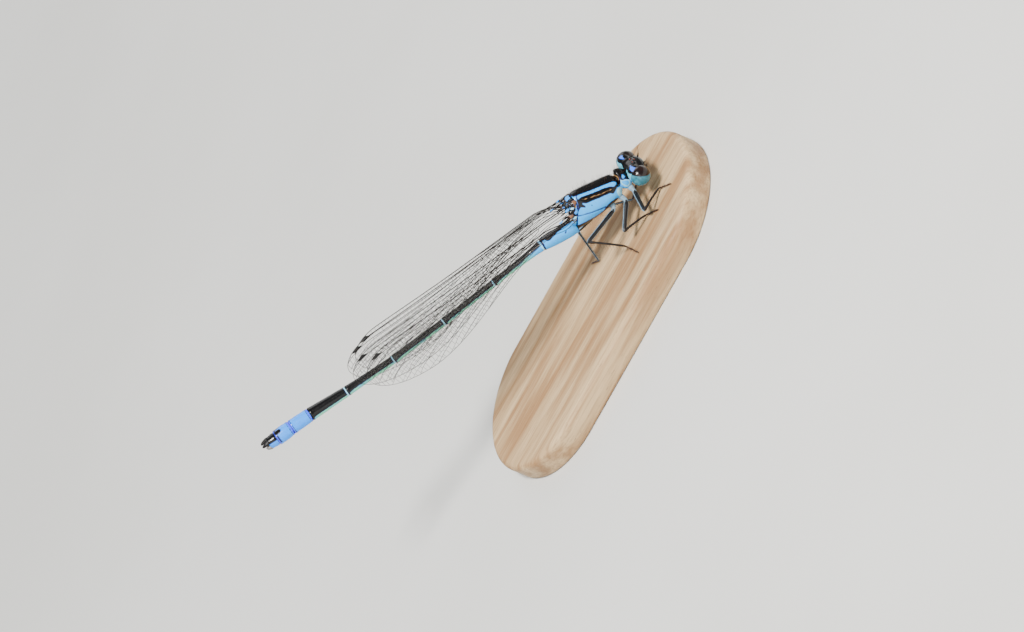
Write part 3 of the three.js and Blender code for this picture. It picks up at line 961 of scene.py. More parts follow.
@dataclass
class Trunk:
    """Neck, thorax and tail as one closed skin, with the marks of each plate held at its points."""

    around: int = 96
    fore_rings: int = 220
    keel: float = 1.12
    root: tuple[float, float] = (-1.93, -0.27)
    # place along the body, back line, belly line, half width
    stations: tuple = (
        (3.55, 0.84, 0.45, 0.22), (3.3, 0.9, 0.34, 0.34), (3.18, 1.0, 0.16, 0.48), (3.08, 1.13, 0.06, 0.54),
        (2.98, 1.26, -0.06, 0.58), (2.88, 1.38, -0.15, 0.63), (2.78, 1.46, -0.2, 0.66),
        (2.66, 1.52, -0.25, 0.69), (2.52, 1.56, -0.22, 0.68), (2.41, 1.52, -0.14, 0.63),
        (2.33, 1.38, -0.04, 0.54), (2.26, 1.14, 0.02, 0.48), (2.19, 1.2, -0.02, 0.56),
        (2.08, 1.38, -0.16, 0.7),
        (1.94, 1.47, -0.28, 0.82), (1.2, 1.66, -0.44, 0.98), (0.3, 1.87, -0.52, 1.05),
        (-0.55, 2.05, -0.55, 1.06), (-0.92, 2.08, -0.55, 1.02), (-1.15, 1.98, -0.55, 0.97),
        (-1.45, 1.6, -0.53, 0.88), (-1.7, 1.05, -0.5, 0.76), (-1.86, 0.66, -0.5, 0.64),
        (-1.97, 0.28, -0.62, 0.5),
    )
    rings: tuple[Ring, ...] = (
        Ring("abdomen_1_2", 2.8, 7.0, (1.02, 1.14, 1.12, 1.04, 0.88)),
        Ring("abdomen_3", 4.3, -2.6, (0.85, 0.66, 0.57, 0.55, 0.62)),
        Ring("abdomen_4", 4.46, -2.3, (0.57, 0.55, 0.55, 0.56, 0.64)),
        Ring("abdomen_5", 4.42, -1.0, (0.58, 0.57, 0.58, 0.6, 0.68)),
        Ring("abdomen_6", 4.0, 2.3, (0.61, 0.62, 0.65, 0.7, 0.78)),
        Ring("abdomen_7", 3.06, 4.0, (0.76, 0.82, 0.88, 0.94, 1.0)),
        Ring("abdomen_8", 1.6, 1.5, (1.0, 1.02, 1.04, 1.05, 1.06)),
        Ring("abdomen_9", 1.3, 0.0, (1.06, 1.12, 1.15, 1.14, 1.1)),
        Ring("abdomen_10", 0.66, 2.0, (1.02, 1.0, 0.96, 0.92, 0.86)),
    )
    step: float = 0.09  # between the tail's rings
    flare: tuple[float, float, float] = (0.03, 0.12, 0.06)  # of a segment's rear: how much, where, how long
    back_reach: tuple = (  # the black back's reach on the first segment, along the body
        (-5.2, -4.35, -4.2, -4.0, -3.7, -3.3, -2.9, -2.4, -1.9),
        (0.5, 0.5, 1.0, 1.02, 0.82, 0.62, 0.5, 0.36, 0.2),
    )
    tail_back: float = 1.48  # and its reach round the middle segments, in radians from the back line
    joint_line: float = 0.07  # how far before a joint its dark line lies
    pale_line: float = 0.07  # half the width of the pale line behind the joint
    side_seam: float = 0.42  # how far from the belly line the seams run, in radians
    tip_end: tuple = ()

    def angles(self) -> np.ndarray:
        """The turns round a ring, from the back line over the left side."""
        return np.linspace(0.0, TURN, self.around, endpoint=False)

    def fore(self) -> tuple[np.ndarray, np.ndarray]:
        """Builds the rings of neck, prothorax and thorax, and their places along the body.

        Returns:
            An array of (rings, around, 3), and each ring's place along the body.
        """
        table = np.array(self.stations) * (-1, 1, 1, 1)
        along = np.linspace(table[0, 0], table[-1, 0], self.fore_rings)
        top, low, half = eased(table, along).T
        angle = self.angles()
        up = np.cos(angle)
        middle = low + (top - low) * 0.42
        lift = np.where(up > 0, np.abs(up) ** self.keel, 0.0)
        height = middle[:, None] + (top - middle)[:, None] * lift + (middle - low)[:, None] * np.minimum(up, 0)
        crest = np.exp(-((np.minimum(angle, TURN - angle) / 0.07) ** 2)) * 0.035
        fore, rear = smoothstep(along, -2.1, -1.7)[:, None], (1 - smoothstep(along, 0.4, 0.8))[:, None]
        height += crest[None, :] * fore * rear
        x = np.repeat(-along[:, None], self.around, axis=1)
        return np.stack([x, half[:, None] * np.sin(angle), height], axis=2), -along

    def rear(self) -> tuple[np.ndarray, np.ndarray, np.ndarray]:
        """Builds the tail's rings, with their segment numbers and shares along them.

        Returns:
            An array of (rings, around, 3), each ring's segment number and its share along that segment.
        """
        joint = np.array(self.root)
        angle = self.angles()
        seam = 1.0 - 0.1 * np.exp(-((np.abs(angle - math.pi) - self.side_seam) / 0.12) ** 2)
        swell, place, reach = self.flare
        rings, numbers, shares = [], [], []
        for number, ring in enumerate(self.rings):
            tilt = math.radians(ring.climb)
            run, rise = np.array([-math.cos(tilt), math.sin(tilt)]), np.array([math.sin(tilt), math.cos(tilt)])
            count = max(14, int(ring.length / self.step))
            wave, even = np.cos(np.linspace(0.0, math.pi, count)), np.linspace(0.0, 1.0, count)
            share = np.clip(0.5 - 0.5 * wave * 0.35 + 0.65 * (even - 0.5), 0.0, 1.0)
            table = np.column_stack([np.linspace(0.0, 1.0, len(ring.girths)), ring.girths])
            girth = eased(table, share)[:, 0] / 2
            near = np.minimum(share, 1.0 - share) * ring.length
            bulge = swell * np.exp(-(((1 - share) * ring.length - place) / reach) ** 2)
            girth *= 1.0 - 0.1 * (1.0 - smoothstep(near, 0.0, 0.07)) + bulge
            for at, radius in zip(share, girth):
                middle = joint + run * ring.length * at
                x, z = (middle[axis] + rise[axis] * (radius * seam) * np.cos(angle) for axis in (0, 1))
                rings.append(np.stack([x, radius * seam * np.sin(angle), z], axis=1))
            numbers += [number] * count
            shares += share.tolist()
            joint = joint + run * ring.length
        self.tip_end = (joint, tilt)
        return np.array(rings), np.array(numbers), np.array(shares)

    def side_plane(self, rings: np.ndarray) -> np.ndarray:
        """Lays every ring point on the side plane that the photo's marks are read in.

        Args:
            rings: an (rings, around, 3) array.

        Returns:
            Rows of (along, up); what lies round under the belly runs on downwards.
        """
        up = rings[:, :, 2] * SEEN_UP[1] - np.abs(rings[:, :, 1]) * SEEN_UP[0]
        turned = np.abs(self.angles() - math.pi)
        under = turned[None, :] < turned[np.argmin(up, axis=1)][:, None]
        up = np.where(under, 2 * up.min(axis=1)[:, None] - up, up)
        return np.stack([rings[:, :, 0].ravel(), up.ravel()], axis=1)

    def thorax_marks(self, spots: np.ndarray) -> dict:
        """Reads the thorax and neck marks at places on the side plane.

        Args:
            spots: places on the side plane, one a row.

        Returns:
            Each mark's depths, by name.
        """
        view, neck = THORAX_VIEW, NECK_VIEW

        def area(tracing: Tracing, outline: list, times: int = 1) -> np.ndarray:
            """How deep the places lie in a traced outline."""
            return inside(spots, rounded(tracing.plane(outline), times))

        def line(half: float, marks: list) -> np.ndarray:
            """How deep they lie in a traced line of some half width."""
            return half - away_from(spots, view.plane(marks))

        def dot(middle: tuple, reach: float) -> np.ndarray:
            """How deep they lie in a round dot."""
            return reach - np.linalg.norm(spots - view.plane([middle])[0], axis=1)

        black = np.maximum.reduce([
            np.minimum(area(view, BACK_BLACK), 0.012 - area(view, SHOULDER_STRIPE, 2)),
            area(view, BELLY_BLACK),
            np.minimum(area(neck, COLLAR_BLACK), -area(neck, COLLAR_BLUE)),
            np.minimum(line(0.02, SIDE_SUTURE), 0.004),
            line(0.032, REAR_MARGIN),
            dot(*CORNER_SPOT),
            *(0.035 - away_from(spots, rounded(view.plane(marks), 2, closed=False)) for marks in ROOT_LINES),
        ])
        tan = [np.minimum(area(view, outline), -black) for outline in ROOT_TAN]
        tan += [line(0.03, SHOULDER_TAN), line(0.035, RIM_TAN)]
        pale = [area(view, outline) for outline in (COXA_PALE, *ROOT_PALE)]
        pale += [dot(*spot) for spot in PALE_DOTS] + [area(neck, NECK_BLUE)]
        pale.append(0.05 - away_from(spots, rounded(neck.plane(LOBE_RIM), 2), closed=True))
        return {"black": black, "tan": np.maximum.reduce(tan), "pale": np.maximum.reduce(pale),
                "navy": dot(*SIDE_SPOT), "rear": np.zeros(len(spots)), "tip": np.zeros(len(spots))}

    def mark_between_wings(self, places: np.ndarray, marks: dict) -> None:
        """Paints the back between the wings black with two pale blue spots.

        Args:
            places: places in the body's frame.
            marks: the depths there, which it changes.
        """
        wide = np.abs(places[:, 1])
        zone = np.where(places[:, 2] > 0.25, np.minimum(0.5 - wide, -1.02 - places[:, 0]), OFF)
        spots = 0.13 - np.hypot(wide - 0.2, (places[:, 2] - 1.2) * 0.6)
        spotted = np.minimum(np.maximum(marks["black"], zone), -spots)
        marks["black"] = np.where(zone > 0, spotted, marks["black"])
        for mark in ("tan", "pale"):
            marks[mark] = np.minimum(marks[mark], -zone)

    def tail_marks(self, rings: np.ndarray, numbers: np.ndarray, shares: np.ndarray) -> dict:
        """Works out the tail's marks: the black back, the pale joints and the blue tip.

        Args:
            rings: the tail's rings.
            numbers: each ring's segment number.
            shares: each ring's share along its segment.

        Returns:
            Each mark's depths, by name.
        """
        angle = np.minimum(self.angles(), TURN - self.angles())
        turned = np.tile(angle, (len(rings), 1))
        number, share = (np.repeat(part[:, None], self.around, axis=1) for part in (numbers, shares))
        length = np.array([ring.length for ring in self.rings])[number]
        girth = np.array([ring.girths[2] / 2 for ring in self.rings])[number]
        fore_gap, rear_gap = share * length, (1 - share) * length
        first, dark, blue = number == 0, (number >= 1) & (number <= 5), (number == 6) | (number == 7)
        back = np.select(
            [first, number == 1, number <= 4, number == 5, blue],
            [np.interp(rings[:, :, 0], *self.back_reach), 1.02 + 0.46 * smoothstep(share, 0.1, 0.7),
             self.tail_back, 1.72, -0.3],
            1.25,
        )
        black = (back + np.where(dark, 0.15 * smoothstep(share, 0.85, 0.98), 0.0) - turned) * girth
        black = np.where(dark, np.minimum(black, fore_gap - 0.1), black)
        black = np.where(first | dark, np.maximum(black, 0.05 - np.abs(rear_gap - self.joint_line)), black)
        lobe = 0.19 - np.hypot((turned - 0.42) * girth, (rear_gap - 0.33) * 0.75)
        saddle = np.maximum(lobe, np.minimum(0.045 - np.abs(rear_gap - 0.17), (1.9 - turned) * girth))
        black = np.where(number == 7, np.maximum(black, saddle), black)
        black = np.where(blue, np.maximum(black, 0.016 - rear_gap), black)
        black = np.maximum(black, 0.035 - np.abs((math.pi - turned) - self.side_seam) * girth)
        dash = 0.035 - away_from(self.side_plane(rings), TAIL_VIEW.plane(TAIL_DASH))
        black = np.where(first, np.maximum(black, dash.reshape(black.shape)), black)
        pale = np.where(dark, self.pale_line - np.abs(fore_gap - 0.05), OFF)
        pale = np.where(blue, 0.06 - np.minimum(np.abs(fore_gap - 0.05), np.abs(rear_gap - 0.05)), pale)
        navy = np.where(number == 6, 0.03 - np.abs(rear_gap - 0.14), OFF)
        navy = np.where(blue, np.maximum(navy, 0.026 - np.abs(fore_gap - 0.14)), navy)
        greening, fading = smoothstep(share, 0.05, 0.45), 1.0 - smoothstep(share, 0.75, 1.0) * 0.5
        rear = np.select([first, number == 1, number <= 4, number == 5], [0.0, greening, 1.0, fading], 0.0)
        marks = {"black": black, "tan": np.full(black.shape, OFF), "pale": pale, "navy": navy, "rear": rear,
                 "tip": number >= 6}
        return {mark: depths.ravel() for mark, depths in marks.items()}

    def build(self) -> Solid:
        """Builds and dresses the skin, with fine grooves along the side seam and the shoulder line.

        Returns:
            The finished skin.
        """
        fore, _ = self.fore()
        rear, numbers, shares = self.rear()
        spots = self.side_plane(fore)
        front, back = self.thorax_marks(spots), self.tail_marks(rear, numbers, shares)
        self.mark_between_wings(fore.reshape(-1, 3), front)
        relief = 0.03 * np.exp(-(away_from(spots, THORAX_VIEW.plane(SIDE_SUTURE)) / 0.03) ** 2)
        relief += 0.025 * np.exp(-(away_from(spots, THORAX_VIEW.plane(SHOULDER_TAN)) / 0.03) ** 2)
        away = fore - fore.mean(axis=1, keepdims=True)
        away /= np.linalg.norm(away, axis=2, keepdims=True) + 1e-9
        fore = fore - away * relief.reshape(fore.shape[:2])[:, :, None]
        marks = {}
        for mark, depths in front.items():
            marks[mark] = np.concatenate([depths, back[mark], [depths[0], back[mark][-1]]])
        nodes = ["prothorax", "thorax"] + [ring.node for ring in self.rings]
        skin = lofted(np.vstack([fore, rear]))
        return dressed("trunk_skin", skin, Cuticle("trunk_cuticle").build(), "cuticle_blue", nodes, marks)


@dataclass
class Head:
    """The head: capsule, face, mouthparts, feelers and the two eyes, turned a little to the left."""

    place: tuple[float, float, float] = (3.61, 0.0, 0.84)
    turns: tuple[float, float, float] = (7.5, 8.0, 5.0)  # roll, pitch and yaw in degrees
    eye_middle: tuple[float, float, float] = (0.09, 1.18, -0.1)
    eye_half: tuple[float, float, float] = (0.74, 0.66, 0.75)
    feeler_root: tuple[float, float, float] = (0.76, 0.44, 0.2)
    feeler_tips: tuple = ((1.2, 0.92, 0.86), (1.15, 0.62, 0.56))  # left, right
    feeler_bend: tuple[float, float, float] = (0.06, 0.0, -0.08)
    feeler_girth: tuple = ((0, 0.16, 0.2, 0.36, 0.4, 1.0), (0.075, 0.07, 0.05, 0.042, 0.02, 0.008))
    simple_eyes: tuple = ((0.4, 0.0, 0.53), (0.16, 0.22, 0.58), (0.16, -0.22, 0.58))
    simple_half: tuple[float, float, float] = (0.05, 0.05, 0.04)
    voxel: float = 0.035
    finish: Cuticle = Cuticle("head_cuticle", ground=tint(96, 190, 214), shade=tint(70, 160, 180),
                              navy=tint(52, 120, 255), fringe=tint(16, 18, 60))
    # the rounded masses of the capsule as middle and half sizes; those off the middle come in pairs
    lumps: tuple = (
        ((0.0, 0.0, 0.0), (0.56, 1.2, 0.58)), ((-0.1, 0.86, 0.05), (0.58, 0.6, 0.64)),
        ((-0.06, 0.48, 0.16), (0.52, 0.5, 0.46)), ((0.42, 0.0, 0.04), (0.54, 1.0, 0.46)),
        ((0.42, 0.0, -0.22), (0.5, 0.62, 0.4)), ((0.5, 0.0, -0.38), (0.42, 0.5, 0.3)),
        ((0.42, 0.0, -0.62), (0.34, 0.42, 0.28)), ((0.22, 0.3, 0.42), (0.18, 0.22, 0.18)),
        ((0.26, 0.0, 0.42), (0.22, 0.3, 0.16)), ((0.72, 0.44, 0.14), (0.16, 0.17, 0.16)),
    )

    def turned(self, points: np.ndarray) -> np.ndarray:
        """Turns head-frame places into the body's frame."""
        turn = Euler([math.radians(part) for part in self.turns], "XYZ").to_matrix()
        return points @ np.array(turn).T + np.array(self.place)

    def show(self, name: str, skin: Skin, finish: bpy.types.Material, slot: str,
             nodes: list[str] | None = None, marks: dict | None = None) -> Solid:
        """Makes one of the head's pieces out of head-frame places, as dressed() does."""
        return dressed(name, (self.turned(skin[0]), skin[1]), finish, slot, nodes, marks)

    def marks(self, spots: np.ndarray) -> dict:
        """Works out the head's marks from places in the head's frame.

        Args:
            spots: places in the head's frame, one a row.

        Returns:
            Each mark's depths, by name.
        """
        x, y, z = spots.T
        wide = np.abs(y)
        behind = 1.0 - smoothstep(x, -0.1, 0.3)
        level = behind * (0.1 + 0.34 * smoothstep(wide, 0.12, 0.45)) - (1 - behind) * 0.1 * wide
        placed = self.turned(spots)
        seen = np.stack([placed[:, 0], placed[:, 2] * SEEN_UP[1] + placed[:, 1] * SEEN_UP[0]], axis=1)
        near, far = (inside(seen, rounded(NECK_VIEW.plane(heart), 1)) for heart in (NEAR_HEART, FAR_HEART))
        hearts = np.where(z > 0.15, np.where(y < 0, near, far), OFF)
        black = np.minimum(np.minimum(z - level, 0.86 - x), -hearts)
        mouth = 0.03 - np.abs(z + 0.33) - 0.6 * np.maximum(wide - 0.5, 0)
        black = np.maximum(black, np.where(x > 0.5, mouth, OFF))
        return {"black": black, "navy": hearts, "pale": np.where(x < -0.2, 0.02 - z, OFF),
                "tan": np.full(len(x), OFF), "rear": np.zeros(len(x))}

    def capsule(self) -> None:
        """Moulds the capsule out of its lumps into one skin."""
        lumps = []
        for middle, half in self.lumps:
            ways = (1, -1) if middle[1] else (1,)
            lumps += [((middle[0], way * middle[1], middle[2]), half) for way in ways]
        skin = moulded(lumps, self.voxel)
        self.show("head_capsule", skin, self.finish.build(), "cuticle_black", ["head"], self.marks(skin[0]))

    def eye(self, side: Side, finish: bpy.types.Material) -> None:
        """Builds one eye as a full ellipsoid sunk into the capsule's end.

        Args:
            side: which eye.
            finish: the piece's material.
        """
        middle = np.array(self.eye_middle) * (1, side.value, 1)
        skin = lofted(ball_rings(tuple(middle), self.eye_half, 60, 96))
        x, y, z = (skin[0] - middle).T
        inward = -y * side.value
        cap = z + 0.4 * x - 0.27 + 0.3 * np.maximum(inward, 0.0)
        marks = {"cap": cap, "rim": np.minimum(inward - 0.34, -cap - 0.1)}
        self.show(f"eye_{side.word}_facets", skin, finish, "eye", [f"eye_{side.word}"], marks)

    def feeler(self, side: Side, finish: bpy.types.Material) -> None:
        """Builds one feeler: two stout joints and a fine whip.

        Args:
            side: which feeler.
            finish: the piece's material.
        """
        root, tip = (np.array(end) * (1, side.value, 1)
                     for end in (self.feeler_root, self.feeler_tips[side is Side.RIGHT]))
        share = np.linspace(0.0, 1.0, 40)
        path = root + share[:, None] * (tip - root)
        path = path + np.sin(share * math.pi)[:, None] * np.array(self.feeler_bend)
        rings, _ = swept(path, np.interp(share, *self.feeler_girth), 12, UP)
        self.show(f"feeler_{side.word}", lofted(rings), finish, "cuticle_black", [f"antenna_{side.word}"])

    def build(self, horn: bpy.types.Material) -> None:
        """Builds every piece of the head.

        Args:
            horn: the feelers' material.
        """
        self.capsule()
        facets = EyeSkin().build()
        for side in Side:
            self.eye(side, facets)
            self.feeler(side, horn)
        amber = Horn("simple_eye_amber", tint(84, 28, 18), tint(140, 56, 40), 0.2).build()
        skin = lofted(*(ball_rings(spot, self.simple_half, 8, 12) for spot in self.simple_eyes))
        self.show("simple_eyes", skin, amber, "eye")


@dataclass
class Wing:
    """One wing: its outline, its clear film, its veins and its dark spot near the tip."""

    node: str
    side: Side
    x: float
    length: float
    root_y: float
    plane_y: float
    root_z: float
    mid_z: float
    tip_z: float
    lowest: float
    apex: float
    flare: float = 0.1
    stalk: float = 0.6
    nodus: float = 0.39
    spot_at: float = 0.93
    seed: int = 7
    pleat: float = 0.035
    film: float = 0.008
    tip_vein: float = 0.018
    cross_vein: float = 0.0165
    brace_veins: tuple[float, float] = (0.17, 0.27)
    spot_span: float = 0.0335  # share of the span
    spot_slant: float = 0.0175
    spot_depth: float = 0.086  # share of the chord
    spot_swell: float = 0.03
    cell: float = 0.0162  # share of the span from one row of cross veins to the next

    @staticmethod
    def closing(share: np.ndarray, start: float) -> np.ndarray:
        """How far an edge has closed on the wing's tip."""
        past = np.clip((share - start) / (1 - start), 0.0, 1.0)
        return 1.0 - np.sqrt(1.0 - 0.998 * past * past)

    def edges(self, share: np.ndarray) -> tuple[np.ndarray, np.ndarray]:
        """The heights of the leading and the trailing edge at shares of the span.

        Args:
            share: how far along the span, 0 to 1.

        Returns:
            The two heights at each share.
        """
        rise = self.root_z + (self.mid_z - self.root_z) * smoothstep(share, 0.0, 0.14)
        lead = rise + (self.tip_z - rise) * smoothstep(share, 0.45, 1.0)
        trail = lead - self.stalk
        trail = trail + (self.lowest - trail) * smoothstep(share, 0.11, 0.76)
        lead = lead + (self.apex - lead) * self.closing(share, 0.86)
        return lead, trail + (self.apex - trail) * self.closing(share, 0.74)

    def surface(self, share: np.ndarray, chord: np.ndarray) -> np.ndarray:
        """Gives the places of the wing's middle surface.

        Args:
            share: how far along the span, 0 to 1.
            chord: how far from the leading to the trailing edge, 0 to 1.

        Returns:
            The places in the body's frame.
        """
        share, chord = np.asarray(share, float), np.asarray(chord, float)
        lead, trail = self.edges(share)
        plane = self.root_y + (self.plane_y - self.root_y) * smoothstep(share, 0.0, self.flare)
        fade = (1.0 - 0.7 * smoothstep(share, 0.1, 0.9)) * smoothstep(share, 0.0, 0.06)
        pleats = self.pleat * fade * np.cos(chord * math.pi * 9.0) * (1 - chord) ** 0.5
        y = self.side.value * (plane + pleats)
        return np.stack([self.x - share * self.length, y, lead + (trail - lead) * chord], axis=-1)

    def sheet(self, finish: bpy.types.Material) -> None:
        """Builds the clear film as a thin closed sheet, with finer rows near the tip.

        Args:
            finish: the piece's material.
        """
        share = np.concatenate([np.linspace(0.0, 0.8, 70, endpoint=False),
                                1.0 - 0.2 * (1 - np.linspace(0.0, 1.0, 40)) ** 1.7])
        chord = np.linspace(0.0, 1.0, 37)
        grid = self.surface(*np.meshgrid(share, chord, indexing="ij"))
        half = np.array([0, self.film, 0])
        root = np.tile(1.0 - smoothstep(np.repeat(share, len(chord)), 0.0, 0.05), 2)
        skin = slab(grid + half, grid - half)
        dressed(f"{self.node}_film", skin, finish, "wing", [self.node], {"root": root})

    def main_veins(self) -> list:
        """The long veins, each as rows of (share of span, share of chord), with its radius.

        Returns:
            Pairs of (rows of shares, radius).
        """
        nodus = self.nodus
        return [
            ([(0, 0), (0.5, 0), (0.86, 0), (0.93, 0), (0.97, 0), (0.992, 0), (0.999, 0), (1, 0.2)], 0.045),
            ([(0, 0.1), (0.12, 0.1), (0.3, 0.06), (nodus - 0.02, 0.03), (nodus, 0.0)], 0.03),
            ([(0, 0.3), (0.12, 0.3), (0.25, 0.17), (nodus, 0.11), (0.7, 0.1), (0.88, 0.092),
              (0.955, 0.088), (0.98, 0.05), (0.99, 0.0)], 0.034),
            ([(0.155, 0.2), (0.165, 0.32), (0.3, 0.25), (nodus, 0.2), (0.6, 0.19), (0.8, 0.2),
              (0.92, 0.22), (0.975, 0.3), (0.992, 0.42)], 0.026),
            ([(0.66, 0.2), (0.74, 0.27), (0.84, 0.31), (0.92, 0.38), (0.975, 0.6)], 0.02),
            ([(0.5, 0.2), (0.58, 0.3), (0.7, 0.37), (0.82, 0.43), (0.91, 0.56), (0.955, 0.85)], 0.023),
            ([(0.7, 0.23), (0.8, 0.255), (0.9, 0.3), (0.975, 0.43)], 0.016),
            ([(0.72, 0.32), (0.82, 0.37), (0.91, 0.46), (0.965, 0.7)], 0.016),
            ([(0.7, 0.41), (0.8, 0.49), (0.88, 0.62), (0.935, 0.9)], 0.016),
            ([(0.56, 0.42), (0.66, 0.5), (0.77, 0.6), (0.86, 0.78), (0.905, 1.0)], 0.016),
            ([(0.6, 0.54), (0.68, 0.62), (0.77, 0.74), (0.84, 0.9), (0.86, 1.0)], 0.016),
            ([(0.5, 0.56), (0.58, 0.65), (0.67, 0.76), (0.75, 0.9), (0.79, 1.0)], 0.016),
            ([(0.42, 0.56), (0.52, 0.68), (0.61, 0.8), (0.69, 1.0)], 0.016),
            ([(0.36, 0.7), (0.44, 0.8), (0.52, 0.92), (0.56, 1.0)], 0.016),
            ([(0.64, 0.4), (0.74, 0.47), (0.84, 0.56), (0.9, 0.7), (0.94, 1.0)], 0.02),
            ([(0.35, 0.22), (0.42, 0.34), (0.55, 0.46), (0.7, 0.56), (0.82, 0.7), (0.89, 1.0)], 0.023),
            ([(0.5, 0.46), (0.6, 0.58), (0.72, 0.7), (0.8, 0.84), (0.83, 1.0)], 0.02),
            ([(0.26, 0.27), (0.34, 0.42), (0.48, 0.58), (0.6, 0.72), (0.7, 0.86), (0.75, 1.0)], 0.024),
            ([(0.165, 0.32), (0.17, 0.6), (0.22, 0.66), (0.32, 0.68), (0.45, 0.76), (0.56, 0.88),
              (0.64, 1.0)], 0.026),
            ([(0, 0.62), (0.11, 0.66), (0.17, 0.82), (0.22, 0.84), (0.32, 0.86), (0.42, 0.93),
              (0.48, 1.0)], 0.024),
            ([(0, 1), (0.11, 1), (0.2, 1), (0.4, 1), (0.6, 1), (0.75, 1), (0.86, 1), (0.92, 1), (0.96, 1),
              (0.985, 1), (0.997, 1), (1, 0.6), (1, 0.2)], 0.026),
        ]

    def line(self, marks: list, radius: float, count: int = 60) -> tuple[np.ndarray, np.ndarray]:
        """Runs one vein smoothly through its marks over the wing.

        Args:
            marks: rows of (share of span, share of chord).
            radius: its radius at the root.
            count: how many points it gets; a long vein's are spaced evenly.

        Returns:
            The vein's places and radii.
        """
        marks = rounded(np.array(marks, float), 2, closed=False)
        long = count > 10
        at = strides(marks * (self.length, 3))
        even = np.linspace(0.0, at[-1], count * (20 if long else 1))
        share, chord = np.interp(even, at, marks[:, 0]), np.interp(even, at, marks[:, 1])
        path = self.surface(share, chord)
        if long:
            at = strides(path)
            even = np.linspace(0.0, at[-1], count)
            path = np.stack([np.interp(even, at, path[:, axis]) for axis in range(3)], axis=1)
            share = np.interp(even, at, share)
        thick = radius * (1.0 - 0.35 * share)
        return path, thick + (self.tip_vein - thick) * smoothstep(share, 0.95, 1.0)

    def veins(self) -> list:
        """Builds the whole net: the long veins and the cross veins between neighbours.

        Returns:
            Pairs of (places, radii).
        """
        chance = np.random.default_rng(self.seed)
        lines, tracks = [], []
        for marks, radius in self.main_veins():
            lines.append(self.line(marks, radius, 170 if marks[-1] == (1, 0.2) else 60))
            track = rounded(np.array(marks, float), 2, closed=False)
            tracks.append((np.maximum.accumulate(track[:, 0]) + np.arange(len(track)) * 1e-9, track[:, 1]))
        for share in np.arange(0.19, 0.985, self.cell):
            held = [(float(np.interp(share, *track)), number) for number, track in enumerate(tracks)
                    if track[0][0] <= share <= track[0][-1]]
            held = sorted(held)
            lead, trail = self.edges(np.array([share]))
            for place, ((high, above), (low, below)) in enumerate(zip(held, held[1:])):
                by_edge = high < 0.02 and (share < self.nodus or abs(share - self.spot_at) < 0.026)
                if (low - high) * float(lead[0] - trail[0]) < 0.07 or by_edge:
                    continue
                lean = float(chance.normal(0.0, 0.0015)) - 0.004 * (high > 0.15)
                start = share + float(chance.normal(0.0, 0.001)) + self.cell / 2 * (place % 2)
                ends = ((start, above), (start + lean, below))
                path = [(at, float(np.interp(at, *tracks[number]))) for at, number in ends]
                lines.append(self.line(path, self.cross_vein, 3))
        return lines + [self.line([(at, 0.0), (at, 0.2)], 0.02, 4) for at in self.brace_veins]

    def spot(self, finish: bpy.types.Material) -> None:
        """Builds the dark spot near the tip as a slightly swollen four-sided plate.

        Args:
            finish: the piece's material.
        """
        span, cross = np.meshgrid(np.linspace(0, 1, 15), np.linspace(0, 1, 9), indexing="ij")
        share = self.spot_at - 0.0085 + self.spot_span * span - self.spot_slant * cross
        middle = self.surface(share, 0.004 + self.spot_depth * cross)
        swell = self.spot_swell * (1 - (2 * span - 1) ** 6) * (1 - (2 * cross - 1) ** 4) + 0.012
        bulge = np.stack([0 * swell, swell, 0 * swell], -1)
        dressed(f"{self.node}_spot", slab(middle + bulge, middle - bulge), finish, "cuticle_black")

    def build(self, film: bpy.types.Material, horn: bpy.types.Material, dark: bpy.types.Material,
              veining: Veining) -> None:
        """Builds the wing's film, veins and spot."""
        self.sheet(film)
        carried(veining.run(f"{self.node}_veins", self.veins(), horn), "cuticle_black")
        self.spot(dark)


